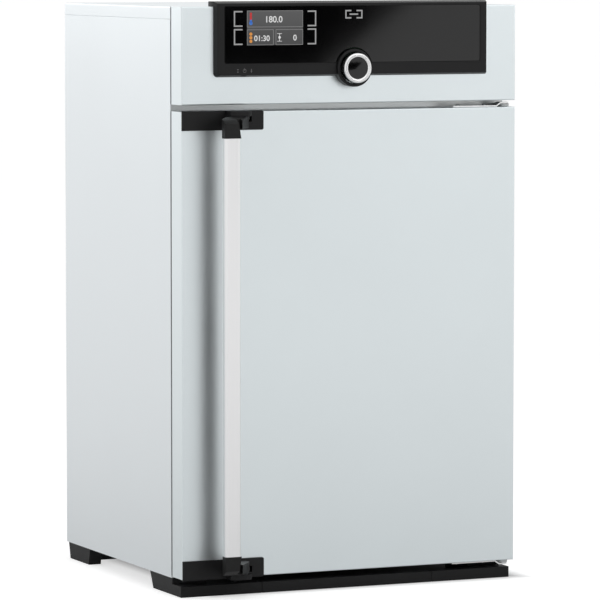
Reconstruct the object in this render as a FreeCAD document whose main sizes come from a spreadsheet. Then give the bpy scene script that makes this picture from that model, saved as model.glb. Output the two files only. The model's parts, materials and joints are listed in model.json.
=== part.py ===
import FreeCAD, Part
import os
import re
import Sketcher

# Laboratory drying oven with a hinged door, a two-point latch handle and a push-turn control knob.
# The frame: +X to the right of the front, +Y towards the back, +Z up, origin on the floor
# under the middle of the whole oven. Every size is in millimetres.

V = FreeCAD.Vector
doc = FreeCAD.newDocument("laboratory_oven")

# Driving sizes, one named cell each
SIZES = {
    # Whole casing
    "body_width": 585.0,
    "body_depth": 514.0,
    "casing_height": 936.0,
    "casing_sheet": 1.2,
    "casing_edge_radius": 2.5,
    "cover_flange": 20.0,
    "cover_seam": 0.8,
    "panel_flange": 14.0,
    "foot_height": 28.0,
    "base_sheet": 1.5,
    "base_flange": 24.0,
    "fit_gap": 0.3,
    "overcut": 1.0,
    # Front frame and control fascia
    "frame_sheet": 1.5,
    "frame_flange": 13.5,
    "fascia_gap": 10.5,
    "fascia_neck_inset": 6.0,
    "fascia_height": 154.5,
    "window_below_top": 94.0,
    "fascia_window_height": 90.0,
    "fascia_window_width": 440.0,
    # Door
    "door_low": 30.0,
    "door_thickness": 41.5,
    "door_gap": 4.5,
    "door_sheet": 1.2,
    "door_edge_radius": 2.0,
    "plinth_height": 8.0,
    "plinth_inset": 14.0,
    "seal_margin": 11.0,
    "seal_width": 12.0,
    "seal_round": 1.8,
    # Chamber
    "chamber_side_margin": 92.5,
    "chamber_end_margin": 90.5,
    "chamber_from_back": 136.5,
    "chamber_sheet": 1.2,
    "chamber_corner": 18.0,
    "chamber_flange": 12.0,
    "rib_count": 7.0,
    "rib_height": 14.0,
    "rib_depth": 7.0,
    "rib_end_margin": 24.0,
    "rib_draft_angle": 5.0,
    "heater_thickness": 3.0,
    "heater_margin": 34.0,
    "insulation_ends": 53.5,
    "insulation_from_back": 75.0,
    # Shelves
    "shelf_wire": 6.0,
    "shelf_bar": 3.0,
    "shelf_wire_round": 2.7,
    "shelf_bar_sink": 1.2,
    "shelf_cross_drop": 3.9,
    "shelf_front_gap": 2.0,
    "shelf_side_gap": 1.0,
    "shelf_back_gap": 3.0,
    "shelf_travel": 9.0,
    "shelf_corner": 12.0,
    "shelf_pitch": 22.0,
    "lower_shelf_rib_count": 2.0,
    "upper_shelf_rib_count": 5.0,
    # Exhaust and fresh air
    "duct_x": -110.0,
    "duct_below_ceiling": 60.5,
    "duct_bore": 27.0,
    "duct_wall": 1.2,
    "duct_flange": 8.0,
    "stub_reach": 22.0,
    "stub_radius": 30.15,
    "stub_flange": 12.0,
    "stub_flange_sheet": 1.5,
    "flap_clearance": 0.6,
    "flap_sheet": 1.5,
    "flap_boss_half": 21.6,
    "flap_from_back": 44.0,
    "flap_shaft_radius": 3.0,
    "running_gap": 0.05,
    "motor_size": 42.0,
    "inlet_x": 110.0,
    "inlet_above_floor": 79.5,
    "inlet_radius": 18.0,
    "louvre_width": 28.8,
    "louvre_height": 3.0,
    "louvre_pitch": 5.85,
    "louvre_count": 5.0,
    # Feet and skirt
    "skirt_inset": 2.3,
    "skirt_front_inset": 11.9,
    "skirt_top": 17.6,
    "skirt_joint": 150.0,
    "skirt_seam": 0.4,
    "skirt_depth": 22.0,
    "foot_width": 58.0,
    "foot_wall": 3.6,
    "front_foot_length": 98.0,
    "rear_foot_width": 22.0,
    "rear_foot_length": 93.0,
    "foot_taper": 14.0,
    "crossbar_low": 6.0,
    "crossbar_depth": 22.0,
    "crossbar_from_back": 88.0,
    # Hinges
    "hinge_from_side": 13.5,
    "hinge_from_face": 14.0,
    "hinge_pin_radius": 4.0,
    "hinge_pin_depth": 15.0,
    "hinge_bush_wall": 2.0,
    "hinge_lug_height": 4.2,
    "hinge_lug_radius": 8.0,
    "hinge_lug_clearance": 0.6,
    "strap_sheet": 2.5,
    "strap_length": 95.0,
    "strap_crank_setback": 16.5,
    "strap_crank_length": 7.5,
    "strap_width": 15.0,
    "strap_screw_first": 11.4,
    "strap_screw_pitch": 47.5,
    "strap_screw_neck": 2.4,
    # Latch brackets and handle
    "bracket_width": 139.5,
    "bracket_height": 31.0,
    "bracket_overhang": 1.3,
    "bracket_thickness": 3.0,
    "bracket_corner": 3.0,
    "ledge_left": 23.0,
    "ledge_right": 14.0,
    "ledge_reach": 28.0,
    "ledge_corner": 9.0,
    "ledge_thickness": 8.5,
    "ledge_floor": 2.0,
    "pivot_from_side": 97.0,
    "pivot_reach": 14.5,
    "pivot_pin_radius": 4.0,
    "hub_radius": 11.0,
    "hub_wall": 2.5,
    "hub_height": 18.6,
    "handle_reach": 56.0,
    "bar_from_side": 65.0,
    "bar_width": 27.2,
    "bar_depth": 14.0,
    "bar_round": 5.0,
    "bar_wall": 2.5,
    "bar_end_from_door_end": 40.5,
    "arm_chamfer_depth": 8.0,
    "arm_chamfer_height": 5.7,
    "arm_nose_height": 22.8,
    "arm_nose_inset": 3.9,
    "arm_hub_step": 1.4,
    "plug_length": 18.0,
    "hook_thickness": 5.0,
    "hook_offset": 14.0,
    "hook_width": 11.0,
    "hook_reach": 14.0,
    "hook_claw": 5.5,
    "hook_claw_length": 9.0,
    "hook_clearance": 2.5,
    "hook_slot_height": 10.0,
    "hook_slot_left": 34.0,
    "strike_gap": 0.8,
    "strike_sheet": 3.0,
    "strike_width": 22.0,
    "strike_height": 28.0,
    # Control unit
    "bezel_half_width": 235.0,
    "bezel_below_top": 108.0,
    "bezel_depth": 11.0,
    "bezel_draft": 3.2,
    "bezel_corner": 7.0,
    "lip_height": 8.0,
    "lip_reach": 20.0,
    "glass_half_width": 223.0,
    "glass_below_top": 89.7,
    "glass_height": 90.2,
    "glass_thickness": 2.0,
    "glass_groove": 0.6,
    "glass_recess": 0.3,
    "glass_corner": 3.0,
    "bezel_frame_ledge": 5.0,
    "display_left": -188.0,
    "display_width": 102.5,
    "display_below_top": 65.0,
    "display_height": 60.7,
    "display_rim": 3.2,
    "board_setback": 8.0,
    "board_thickness": 1.6,
    "board_post_inset": 22.5,
    "knob_below_top": 98.5,
    "collar_radius": 30.2,
    "collar_bore": 25.0,
    "collar_depth": 16.0,
    "collar_clearance": 0.3,
    "knob_radius": 24.0,
    "knob_reach": 28.5,
    "knob_ring_depth": 10.5,
    "knob_ring_round": 3.0,
    "knob_face_radius": 17.0,
    "knob_face_dish": 2.0,
    "knob_travel": 1.5,
    "encoder_shaft_radius": 3.0,
    "plunger_radius": 4.5,
    "plunger_floor": 1.0,
    "encoder_size": 15.0,
    "power_button_x": -189.0,
    "power_button_width": 9.0,
    "power_button_depth": 6.0,
    "power_button_travel": 1.5,
    "power_button_height": 13.0,
    # Back side
    "mains_from_side": 92.5,
    "mains_z": 92.0,
    "mains_width": 50.0,
    "mains_height": 30.0,
    "mains_depth": 32.0,
    "mains_rim": 2.0,
    "socket_depth": 19.2,
    "socket_half_width": 14.0,
    "socket_half_height": 10.8,
    "socket_shoulder": 8.0,
    "socket_shoulder_rise": 4.8,
    "power_unit_width": 220.0,
    "power_unit_depth": 150.0,
    "power_unit_height": 95.0,
    "screw_radius": 2.0,
    "screw_head_radius": 4.0,
    "screw_head_height": 2.0,
    "screw_length": 8.0,
    "screw_gap": 0.2,
    "rear_screw_first": 72.0,
    "rear_screw_end": 28.0,
    "probe_radius": 2.5,
    "probe_reach": 26.0,
}

sheet = doc.addObject("Spreadsheet::Sheet", "Sizes")
for row, (size_name, size_value) in enumerate(SIZES.items(), start=1):
    sheet.set(f"A{row}", size_name)
    sheet.set(f"B{row}", str(size_value))
    sheet.setAlias(f"B{row}", size_name)
doc.recompute()

# Derived places, as expressions of the driving sizes
HALF = "(body_width / 2)"
FRONT = "((handle_reach - body_depth - stub_reach) / 2)"
BACK = f"({FRONT} + body_depth)"
DOOR_BACK = f"({FRONT} + door_thickness)"
CASE_FRONT = f"({DOOR_BACK} + door_gap)"
INNER = f"({HALF} - casing_sheet)"
DOOR_HEIGHT = "(casing_height - fascia_height - fascia_gap - door_low)"
DOOR_TOP = f"(door_low + {DOOR_HEIGHT})"
MID = f"(door_low + {DOOR_HEIGHT} / 2)"
FASCIA_LOW = f"({DOOR_TOP} + fascia_gap)"
SEAM = "(casing_height - cover_flange)"
CHAMBER_WIDTH = "(body_width - 2 * chamber_side_margin)"
CHAMBER_HEIGHT = f"({DOOR_HEIGHT} - 2 * chamber_end_margin)"
CHAMBER_HALF = f"({CHAMBER_WIDTH} / 2)"
CHAMBER_LOW = f"({MID} - {CHAMBER_HEIGHT} / 2)"
CHAMBER_TOP = f"({MID} + {CHAMBER_HEIGHT} / 2)"
MOUTH = f"({CASE_FRONT} + frame_sheet)"
CHAMBER_BACK = f"({BACK} - chamber_from_back)"
CHAMBER_SKIN = f"({CHAMBER_BACK} + chamber_sheet)"
RIB_PITCH = f"({CHAMBER_HEIGHT} / (rib_count + 1))"
PROBE_X = f"({CHAMBER_WIDTH} / 12)"
PROBE_Z = f"({CHAMBER_TOP} - {RIB_PITCH})"
DUCT_Z = f"({CHAMBER_TOP} - duct_below_ceiling)"
INLET_Z = f"({CHAMBER_LOW} + inlet_above_floor)"
MAINS_X = f"({HALF} - mains_from_side)"
HINGE_X = f"({HALF} - hinge_from_side)"
HINGE_Y = f"({FRONT} + hinge_from_face)"
PIVOT_X = f"(pivot_from_side - {HALF})"
PIVOT_Y = f"({FRONT} - pivot_reach)"
BRACKET_LOW = "(door_low - bracket_overhang)"
LEDGE_TOP = f"({BRACKET_LOW} + ledge_thickness)"
HUB_LOW = f"({LEDGE_TOP} + fit_gap)"
BAR_LEFT = f"(bar_from_side - bar_width / 2 - {HALF})"
BAR_FRONT = f"({FRONT} - handle_reach)"
BAR_LOW = "(door_low + bar_end_from_door_end)"
SLOT_MID = f"({LEDGE_TOP} + hook_slot_height / 2 - fit_gap)"
HOOK_RIGHT = f"({PIVOT_X} + hook_offset + hook_width / 2)"
HOOK_TIP = f"({CASE_FRONT} + hook_reach)"
WINDOW_LOW = "(casing_height - window_below_top)"
BEZEL_LOW = "(casing_height - bezel_below_top)"
GLASS_LOW = "(casing_height - glass_below_top)"
DISPLAY_LOW = "(casing_height - display_below_top)"
KNOB_Z = "(casing_height - knob_below_top)"
BEZEL_FRONT = f"({FRONT} - bezel_depth)"
MID_BEZEL = f"({FRONT} - bezel_depth / 2)"
GLASS_FRONT = f"({BEZEL_FRONT} + glass_recess)"
GLASS_BACK = f"({GLASS_FRONT} + glass_thickness)"
GLASS_TOP = f"({GLASS_LOW} + glass_height)"
WINDOW_TOP = f"({WINDOW_LOW} + fascia_window_height)"
BOARD_FRONT = f"({FRONT} + board_setback)"
KNOB_FRONT = f"({FRONT} - knob_reach)"
RING_BACK = f"({KNOB_FRONT} + knob_ring_depth)"
FLAP_Y = f"({BACK} - flap_from_back)"
REAR_INNER = f"({BACK} - casing_sheet)"
INSULATION_BACK = f"({BACK} - insulation_from_back)"
POWER_BUTTON_LOW = f"({BEZEL_LOW} - bezel_draft / 3)"
FRAME_LOW = "(foot_height + base_flange + fit_gap)"
LUG_TOP = "(door_low - hinge_lug_clearance)"
LUG_LOW = f"({LUG_TOP} - hinge_lug_height)"

WORD = re.compile(r"[a-z][a-z_0-9]*")


def sized(text):
    """Point every size name in an expression at its spreadsheet cell."""
    return WORD.sub(lambda m: "Sizes." + m.group(0) if m.group(0) in SIZES else m.group(0), text)


def number(text):
    """The value that an expression has now."""
    return float(sheet.evalExpression(sized(text)))


def bind(thing, name, text):
    thing.setExpression(name, sized(text))


def new_body(name):
    body = doc.addObject("PartDesign::Body", name)
    body.Label = name
    return body


def origin_plane(body, role):
    return next(feature for feature in body.Origin.OriginFeatures if feature.Role == role)


def rect(left, right, low, high):
    return [(left, low), (right, low), (right, high), (left, high)]


def disc(x, y, radius):
    return (x, y, radius)


def draw(sketch, outlines):
    """Draw closed outlines: a list is a polygon's corners, a tuple is a circle's centre and radius."""
    for outline in outlines:
        first = sketch.GeometryCount
        tag = f"g{first}"
        if isinstance(outline, tuple):
            x, y, radius = outline
            centre = V(number(x), number(y), 0)
            sketch.addGeometry(Part.Circle(centre, V(0, 0, 1), number(radius)))
            hold(sketch, first, 3, tag, x, y)
            index = sketch.addConstraint(Sketcher.Constraint("Radius", first, number(radius)))
            sketch.renameConstraint(index, f"{tag}_radius")
            bind(sketch, f"Constraints.{tag}_radius", radius)
            continue
        corners = [V(number(x), number(y), 0) for x, y in outline]
        count = len(corners)
        for i in range(count):
            sketch.addGeometry(Part.LineSegment(corners[i], corners[(i + 1) % count]))
        for i in range(count):
            following = first + (i + 1) % count
            sketch.addConstraint(Sketcher.Constraint("Coincident", first + i, 2, following, 1))
        for i, (x, y) in enumerate(outline):
            hold(sketch, first + i, 1, f"{tag}_{i}", x, y)


def hold(sketch, geometry, point, tag, x, y):
    """Fix one point of a sketch by its two distances from the sketch's origin."""
    for axis, text in (("DistanceX", x), ("DistanceY", y)):
        rule = Sketcher.Constraint(axis, -1, 1, geometry, point, number(text))
        index = sketch.addConstraint(rule)
        name = f"{tag}_{axis[-1].lower()}"
        sketch.renameConstraint(index, name)
        bind(sketch, f"Constraints.{name}", text)


def new_sketch(body, role, level, outlines, across="0", up="0"):
    sketch = body.newObject("Sketcher::SketchObject", "Profile")
    sketch.AttachmentSupport = [(origin_plane(body, role), "")]
    sketch.MapMode = "FlatFace"
    bind(sketch, "AttachmentOffset.Base.x", across)
    bind(sketch, "AttachmentOffset.Base.y", up)
    bind(sketch, "AttachmentOffset.Base.z", level)
    draw(sketch, outlines)
    return sketch


# The plane of a profile whose solid runs along an axis, and which way that plane's normal points
RUNS = {"x": ("YZ_Plane", 1), "y": ("XZ_Plane", -1), "z": ("XY_Plane", 1)}


def extruded(body, kind, axis, low, high, outlines):
    role, sense = RUNS[axis]
    level = low if sense > 0 else f"-({high})"
    feature = body.newObject(kind, kind.split("::")[1])
    feature.Profile = new_sketch(body, role, level, outlines)
    bind(feature, "Length", f"({high}) - ({low})")
    return feature


def pad(body, axis, low, high, *outlines):
    """Add material between two places along an axis."""
    return extruded(body, "PartDesign::Pad", axis, low, high, outlines)


def cut(body, axis, low, high, *outlines):
    """Take material away between two places along an axis."""
    feature = extruded(body, "PartDesign::Pocket", axis, low, high, outlines)
    feature.Reversed = True
    return feature


def spin(body, axis_x, axis_z, outline):
    """Turn a profile, given as places along Y and radii, about a line along Y."""
    feature = body.newObject("PartDesign::Revolution", "Revolution")
    sketch = new_sketch(body, "YZ_Plane", axis_x, [outline], up=axis_z)
    feature.Profile = sketch
    feature.ReferenceAxis = (sketch, ["H_Axis"])
    feature.Angle = 360
    return feature


def lies_at(edge, places):
    """True where an edge is flat at each listed place, or inside each listed pair of limits."""
    box = edge.BoundBox
    spans = {"x": (box.XMin, box.XMax), "y": (box.YMin, box.YMax), "z": (box.ZMin, box.ZMax)}
    for axis, wanted in places.items():
        low, high = spans[axis]
        if isinstance(wanted, tuple):
            if low < number(wanted[0]) - 0.01 or high > number(wanted[1]) + 0.01:
                return False
        elif not any(abs(low - number(w)) < 0.01 and abs(high - number(w)) < 0.01 for w in wanted):
            return False
    return True


def soften(body, size, kind="PartDesign::Fillet", **places):
    """Round or chamfer the edges of the newest feature that lie at the given places."""
    doc.recompute()
    base = body.Tip
    edges = [f"Edge{i}" for i, edge in enumerate(base.Shape.Edges, start=1) if lies_at(edge, places)]
    if not edges:
        raise RuntimeError(f"{body.Label} has no edge at {places}")
    feature = body.newObject(kind, kind.split("::")[1])
    feature.Base = (base, edges)
    bind(feature, "Radius" if kind.endswith("Fillet") else "Size", size)
    return feature


def mirrored(name, source, axis, place):
    """The mirror image of a sub-part, such as the top hinge of the bottom one."""
    image = doc.addObject("Part::Mirroring", name)
    image.Label = name
    image.Source = source
    image.Normal = V(axis == "x", axis == "y", axis == "z")
    bind(image, f"Base.{axis}", place)
    return image


def rod(name, radius, axis, x, y, z, length):
    """A round bar from a start point along an axis."""
    bar = doc.addObject("Part::Cylinder", name)
    bind(bar, "Radius", radius)
    bind(bar, "Height", length)
    turns = {"x": (V(0, 1, 0), 90), "y": (V(1, 0, 0), -90), "z": (V(0, 0, 1), 0)}
    bar.Placement.Rotation = FreeCAD.Rotation(*turns[axis])
    for letter, text in (("x", x), ("y", y), ("z", z)):
        bind(bar, f"Placement.Base.{letter}", text)
    return bar


def group(name, members):
    """Separate solids of one kind that share a node."""
    holder = doc.addObject("Part::Compound", name)
    holder.Label = name
    holder.Links = members
    return holder


pieces = []


def keep(*objects):
    pieces.extend(objects)


# Where the rear panel is screwed to the side panels' flanges: a left and a right hole at each level
REAR_SCREW_X = f"({INNER} - panel_flange / 2)"
REAR_SCREW_SPAN = f"({SEAM} - rear_screw_end - rear_screw_first)"
REAR_SCREW_LEVELS = [f"(rear_screw_first + {level} * {REAR_SCREW_SPAN} / 4)" for level in range(5)]
REAR_SCREW_HOLES = [[disc(f"{side}{REAR_SCREW_X}", level, "screw_radius + screw_gap") for side in ("-", "")]
                    for level in REAR_SCREW_LEVELS]

# Side panels: folded sheet with a flange at the back and a joggled lip under the top cover
panel = new_body("side_panel_left")
pad(panel, "z", "foot_height", f"{SEAM} - cover_seam",
    [(f"-{HALF}", CASE_FRONT), (f"-{INNER}", CASE_FRONT), (f"-{INNER}", f"{REAR_INNER} - casing_sheet"),
     (f"-{INNER} + panel_flange", f"{REAR_INNER} - casing_sheet"),
     (f"-{INNER} + panel_flange", REAR_INNER), (f"-{INNER}", REAR_INNER), (f"-{INNER}", BACK),
     (f"-{HALF}", BACK)])
pad(panel, "y", f"{CASE_FRONT} + frame_sheet + frame_flange + fit_gap",
    f"{REAR_INNER} - casing_sheet - fit_gap",
    [(f"-{INNER}", f"{SEAM} - panel_flange"), (f"-{INNER} + casing_sheet", f"{SEAM} - panel_flange"),
     (f"-{INNER} + casing_sheet", "casing_height - 2 * casing_sheet"),
     (f"-{INNER} + panel_flange", "casing_height - 2 * casing_sheet"),
     (f"-{INNER} + panel_flange", "casing_height - casing_sheet"),
     (f"-{INNER}", "casing_height - casing_sheet")])
cut(panel, "z", "foot_height", f"{FRAME_LOW}", rect(f"-{INNER}", f"-{INNER} + panel_flange",
    f"{REAR_INNER} - casing_sheet", REAR_INNER))
cut(panel, "y", f"{REAR_INNER} - casing_sheet", REAR_INNER, *[hole[0] for hole in REAR_SCREW_HOLES])
keep(panel, mirrored("side_panel_right", panel, "x", "0"))

# Top cover: a shallow folded tray that closes over both side panels
cover = new_body("top_cover")
pad(cover, "z", SEAM, "casing_height", rect(f"-{HALF}", HALF, CASE_FRONT, BACK))
soften(cover, "casing_edge_radius", x=[f"-{HALF}", HALF], z=["casing_height"])
cut(cover, "z", SEAM, "casing_height - casing_sheet",
    rect(f"-{INNER}", INNER, CASE_FRONT, REAR_INNER))
keep(cover)

# Rear panel: flat sheet with louvres over the fresh air duct and holes for what passes through
rear = new_body("rear_panel")
pad(rear, "y", REAR_INNER, BACK,
    rect(f"-{INNER} + fit_gap", f"{INNER} - fit_gap", "foot_height + base_flange + fit_gap",
         f"{SEAM} - cover_seam"))
cut(rear, "y", REAR_INNER, BACK,
    disc("duct_x", DUCT_Z, "duct_bore + duct_wall + fit_gap"),
    rect(f"{MAINS_X} - mains_width / 2", f"{MAINS_X} + mains_width / 2",
         "mains_z - mains_height / 2", "mains_z + mains_height / 2"),
    *[hole for pair in REAR_SCREW_HOLES for hole in pair])
LOUVRE_LOW = f"({INLET_Z} - louvre_pitch * (louvre_count - 1) / 2 - louvre_height / 2)"
louvre = cut(rear, "y", REAR_INNER, BACK,
             rect("inlet_x - louvre_width / 2", "inlet_x + louvre_width / 2", LOUVRE_LOW,
                  f"{LOUVRE_LOW} + louvre_height"))
louvres = rear.newObject("PartDesign::LinearPattern", "Louvres")
louvres.Originals = [louvre]
louvres.Direction = (louvre.Profile[0], ["V_Axis"])
bind(louvres, "Length", "louvre_pitch * (louvre_count - 1)")
bind(louvres, "Occurrences", "louvre_count")
rear.Tip = louvres
keep(rear)

# Base pan: the folded floor of the casing that the feet screw to
pan = new_body("base_pan")
pad(pan, "z", "foot_height", "foot_height + base_flange",
    rect(f"-{INNER}", INNER, f"{CASE_FRONT} + frame_sheet", BACK))
cut(pan, "z", "foot_height + base_sheet", "foot_height + base_flange",
    rect(f"-{INNER} + base_sheet", f"{INNER} - base_sheet", MOUTH, f"{BACK} - base_sheet"))
keep(pan)

# Front frame: the stainless front that carries chamber, hinges, strikes and fascia
frame = new_body("front_frame")
pad(frame, "y", CASE_FRONT, MOUTH, rect(f"-{INNER}", INNER, "foot_height", "casing_height - casing_sheet"))
pad(frame, "y", CASE_FRONT, MOUTH,
    rect(f"{HINGE_X} - hinge_lug_radius", f"{HINGE_X} + hinge_lug_radius", LUG_LOW, "foot_height + base_sheet"))
pad(frame, "y", MOUTH, f"{MOUTH} + frame_flange",
    rect(f"-{INNER}", INNER, FRAME_LOW, "casing_height - casing_sheet"))
cut(frame, "y", MOUTH, f"{MOUTH} + frame_flange",
    rect(f"-{INNER} + frame_sheet", f"{INNER} - frame_sheet", FRAME_LOW,
         "casing_height - casing_sheet - frame_sheet"))
cut(frame, "y", CASE_FRONT, MOUTH, rect(f"-{CHAMBER_HALF}", CHAMBER_HALF, CHAMBER_LOW, CHAMBER_TOP))
soften(frame, "chamber_corner", x=[f"-{CHAMBER_HALF}", CHAMBER_HALF], z=[CHAMBER_LOW, CHAMBER_TOP])
HOOK_SLOT = rect(f"{PIVOT_X} - hook_slot_left", f"{HOOK_RIGHT} + hook_claw + strike_gap",
                 f"{SLOT_MID} - hook_slot_height / 2", f"{SLOT_MID} + hook_slot_height / 2")
HOOK_SLOT_TOP = [(x, f"2 * {MID} - ({z})") for x, z in HOOK_SLOT]
cut(frame, "y", CASE_FRONT, MOUTH, HOOK_SLOT, HOOK_SLOT_TOP,
    rect("-fascia_window_width / 2", "fascia_window_width / 2", WINDOW_LOW, WINDOW_TOP))
keep(frame)

# Latch strikes: two flat plates behind the slots of the front frame
strike = new_body("latch_strike_bottom")
STRIKE_LEFT = f"({HOOK_RIGHT} + hook_claw + strike_gap)"
STRIKE_MID = f"({SLOT_MID} + hook_slot_height)"
pad(strike, "y", MOUTH, f"{MOUTH} + strike_sheet",
    rect(STRIKE_LEFT, f"{STRIKE_LEFT} + strike_width", f"{STRIKE_MID} - strike_height / 2",
         f"{STRIKE_MID} + strike_height / 2"))
keep(group("latch_strikes", [strike, mirrored("latch_strike_top", strike, "z", MID)]))

# Control fascia: a hood as deep as the door, with a narrower neck that meets the front frame
fascia = new_body("control_fascia")
pad(fascia, "y", FRONT, DOOR_BACK, rect(f"-{HALF}", HALF, FASCIA_LOW, "casing_height"))
soften(fascia, "door_edge_radius", y=[FRONT])
pad(fascia, "y", DOOR_BACK, CASE_FRONT,
    rect(f"-{HALF} + fascia_neck_inset", f"{HALF} - fascia_neck_inset",
         f"{FASCIA_LOW} + fascia_neck_inset", "casing_height - fascia_neck_inset"))
cut(fascia, "y", f"{FRONT} + casing_sheet", f"{DOOR_BACK} - casing_sheet",
    rect(f"-{INNER}", INNER, f"{FASCIA_LOW} + casing_sheet", "casing_height - casing_sheet"))
cut(fascia, "y", f"{DOOR_BACK} - casing_sheet", CASE_FRONT,
    rect(f"-{HALF} + fascia_neck_inset + casing_sheet", f"{HALF} - fascia_neck_inset - casing_sheet",
         f"{FASCIA_LOW} + fascia_neck_inset + casing_sheet",
         "casing_height - fascia_neck_inset - casing_sheet"))
cut(fascia, "y", FRONT, f"{FRONT} + casing_sheet",
    rect("-fascia_window_width / 2", "fascia_window_width / 2", WINDOW_LOW, WINDOW_TOP))
cut(fascia, "y", FRONT, f"{FRONT} + casing_sheet",
    disc("0", KNOB_Z, "knob_face_radius + fit_gap"))
keep(fascia)

# Chamber: deep-drawn stainless liner whose pressed side ribs carry the shelves
chamber = new_body("chamber")
OUTER_HALF = f"({CHAMBER_HALF} + chamber_sheet)"
pad(chamber, "y", MOUTH, CHAMBER_SKIN,
    rect(f"-{OUTER_HALF}", OUTER_HALF, f"{CHAMBER_LOW} - chamber_sheet", f"{CHAMBER_TOP} + chamber_sheet"))
soften(chamber, "chamber_corner + chamber_sheet", x=[f"-{OUTER_HALF}", OUTER_HALF],
       z=[f"{CHAMBER_LOW} - chamber_sheet", f"{CHAMBER_TOP} + chamber_sheet"])
pad(chamber, "y", MOUTH, f"{MOUTH} + chamber_sheet",
    rect(f"-{OUTER_HALF} - chamber_flange", f"{OUTER_HALF} + chamber_flange",
         f"{CHAMBER_LOW} - chamber_sheet - chamber_flange",
         f"{CHAMBER_TOP} + chamber_sheet + chamber_flange"))
liner = new_body("chamber_space")
pad(liner, "y", f"{MOUTH} - overcut", CHAMBER_BACK,
    rect(f"-{CHAMBER_HALF}", CHAMBER_HALF, CHAMBER_LOW, CHAMBER_TOP))
soften(liner, "chamber_corner", x=[f"-{CHAMBER_HALF}", CHAMBER_HALF], z=[CHAMBER_LOW, CHAMBER_TOP])
soften(liner, "chamber_corner / 3", y=[CHAMBER_BACK])
hollow = chamber.newObject("PartDesign::Boolean", "Hollow")
hollow.setObjects([liner])
hollow.Type = "Cut"


def rib_outline(shrink):
    """Side view of one pressed rib: a long bar with a round nose at each end."""
    level = f"({CHAMBER_LOW} + {RIB_PITCH})"
    half = f"(rib_height / 2 - {shrink})"
    start = f"({MOUTH} + rib_end_margin + {shrink})"
    finish = f"({CHAMBER_BACK} - rib_end_margin - {shrink})"
    return rect(start, finish, f"{level} - {half}", f"{level} + {half}")


bulge = pad(chamber, "x", f"-{CHAMBER_HALF} - chamber_sheet / 2", f"-{CHAMBER_HALF} + rib_depth",
            rib_outline("0"))
bind(bulge, "TaperAngle", "-rib_draft_angle")
dent = cut(chamber, "x", f"-{OUTER_HALF}", f"-{CHAMBER_HALF} + rib_depth - chamber_sheet",
           rib_outline("chamber_sheet"))
bind(dent, "TaperAngle", "-rib_draft_angle")
ribs = chamber.newObject("PartDesign::MultiTransform", "Ribs")
ribs.Originals = [bulge, dent]
rows = chamber.newObject("PartDesign::LinearPattern", "RibRows")
rows.Direction = (bulge.Profile[0], ["V_Axis"])
bind(rows, "Length", f"{RIB_PITCH} * (rib_count - 1)")
bind(rows, "Occurrences", "rib_count")
sides = chamber.newObject("PartDesign::Mirrored", "RibSides")
sides.MirrorPlane = (origin_plane(chamber, "YZ_Plane"), [""])
ribs.Transformations = [rows, sides]
chamber.Tip = ribs
cut(chamber, "y", f"{CHAMBER_BACK} - overcut", CHAMBER_SKIN,
    disc("duct_x", DUCT_Z, "duct_bore"),
    disc("inlet_x", INLET_Z, "inlet_radius - duct_wall"),
    disc(f"-{PROBE_X}", PROBE_Z, "probe_radius + running_gap"),
    disc(PROBE_X, PROBE_Z, "probe_radius + running_gap"))
keep(chamber)

# Temperature probes: two steel rods through the back wall of the chamber
probes = [rod(f"probe_{side}", "probe_radius", "y", f"{side}{PROBE_X}",
              f"{CHAMBER_BACK} - probe_reach", PROBE_Z, "probe_reach * 2")
          for side in ("-", "")]
keep(group("temperature_probes", probes))

# Heating pads: flat elements on the outside of the four chamber walls
HEAT_Y0 = f"({MOUTH} + heater_margin)"
HEAT_Y1 = f"({CHAMBER_SKIN} - heater_margin)"
heater = new_body("side_heater_left")
pad(heater, "x", f"-{OUTER_HALF} - heater_thickness", f"-{OUTER_HALF}",
    rect(HEAT_Y0, HEAT_Y1, f"{CHAMBER_LOW} + heater_margin", f"{CHAMBER_TOP} - heater_margin"))
keep(group("side_heaters", [heater, mirrored("side_heater_right", heater, "x", "0")]))
floor_heater = new_body("end_heater_bottom")
pad(floor_heater, "z", f"{CHAMBER_LOW} - chamber_sheet - heater_thickness", f"{CHAMBER_LOW} - chamber_sheet",
    rect(f"-{CHAMBER_HALF} + heater_margin", f"{CHAMBER_HALF} - heater_margin", HEAT_Y0, HEAT_Y1))
keep(group("end_heaters", [floor_heater, mirrored("end_heater_top", floor_heater, "z", MID)]))

# Insulation jacket: mineral wool between the chamber and the casing
jacket = new_body("insulation_jacket")
JACKET_LOW = f"({CHAMBER_LOW} - insulation_ends)"
JACKET_TOP = f"({CHAMBER_TOP} + insulation_ends)"
HEATED = "(chamber_sheet + heater_thickness + fit_gap)"
pad(jacket, "y", f"{MOUTH} + frame_flange + fit_gap", INSULATION_BACK,
    rect(f"-{INNER} + fit_gap", f"{INNER} - fit_gap", JACKET_LOW, JACKET_TOP))
cut(jacket, "y", f"{MOUTH} + frame_flange + fit_gap", f"{CHAMBER_SKIN} + fit_gap",
    rect(f"-{CHAMBER_HALF} - {HEATED}", f"{CHAMBER_HALF} + {HEATED}", f"{CHAMBER_LOW} - {HEATED}",
         f"{CHAMBER_TOP} + {HEATED}"))
cut(jacket, "y", CHAMBER_SKIN, INSULATION_BACK,
    disc("duct_x", DUCT_Z, "duct_bore + duct_wall + duct_flange + fit_gap"),
    disc("inlet_x", INLET_Z, "inlet_radius + duct_flange + fit_gap"),
    disc(f"-{PROBE_X}", PROBE_Z, "probe_radius + fit_gap"),
    disc(PROBE_X, PROBE_Z, "probe_radius + fit_gap"))
keep(jacket)

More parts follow.
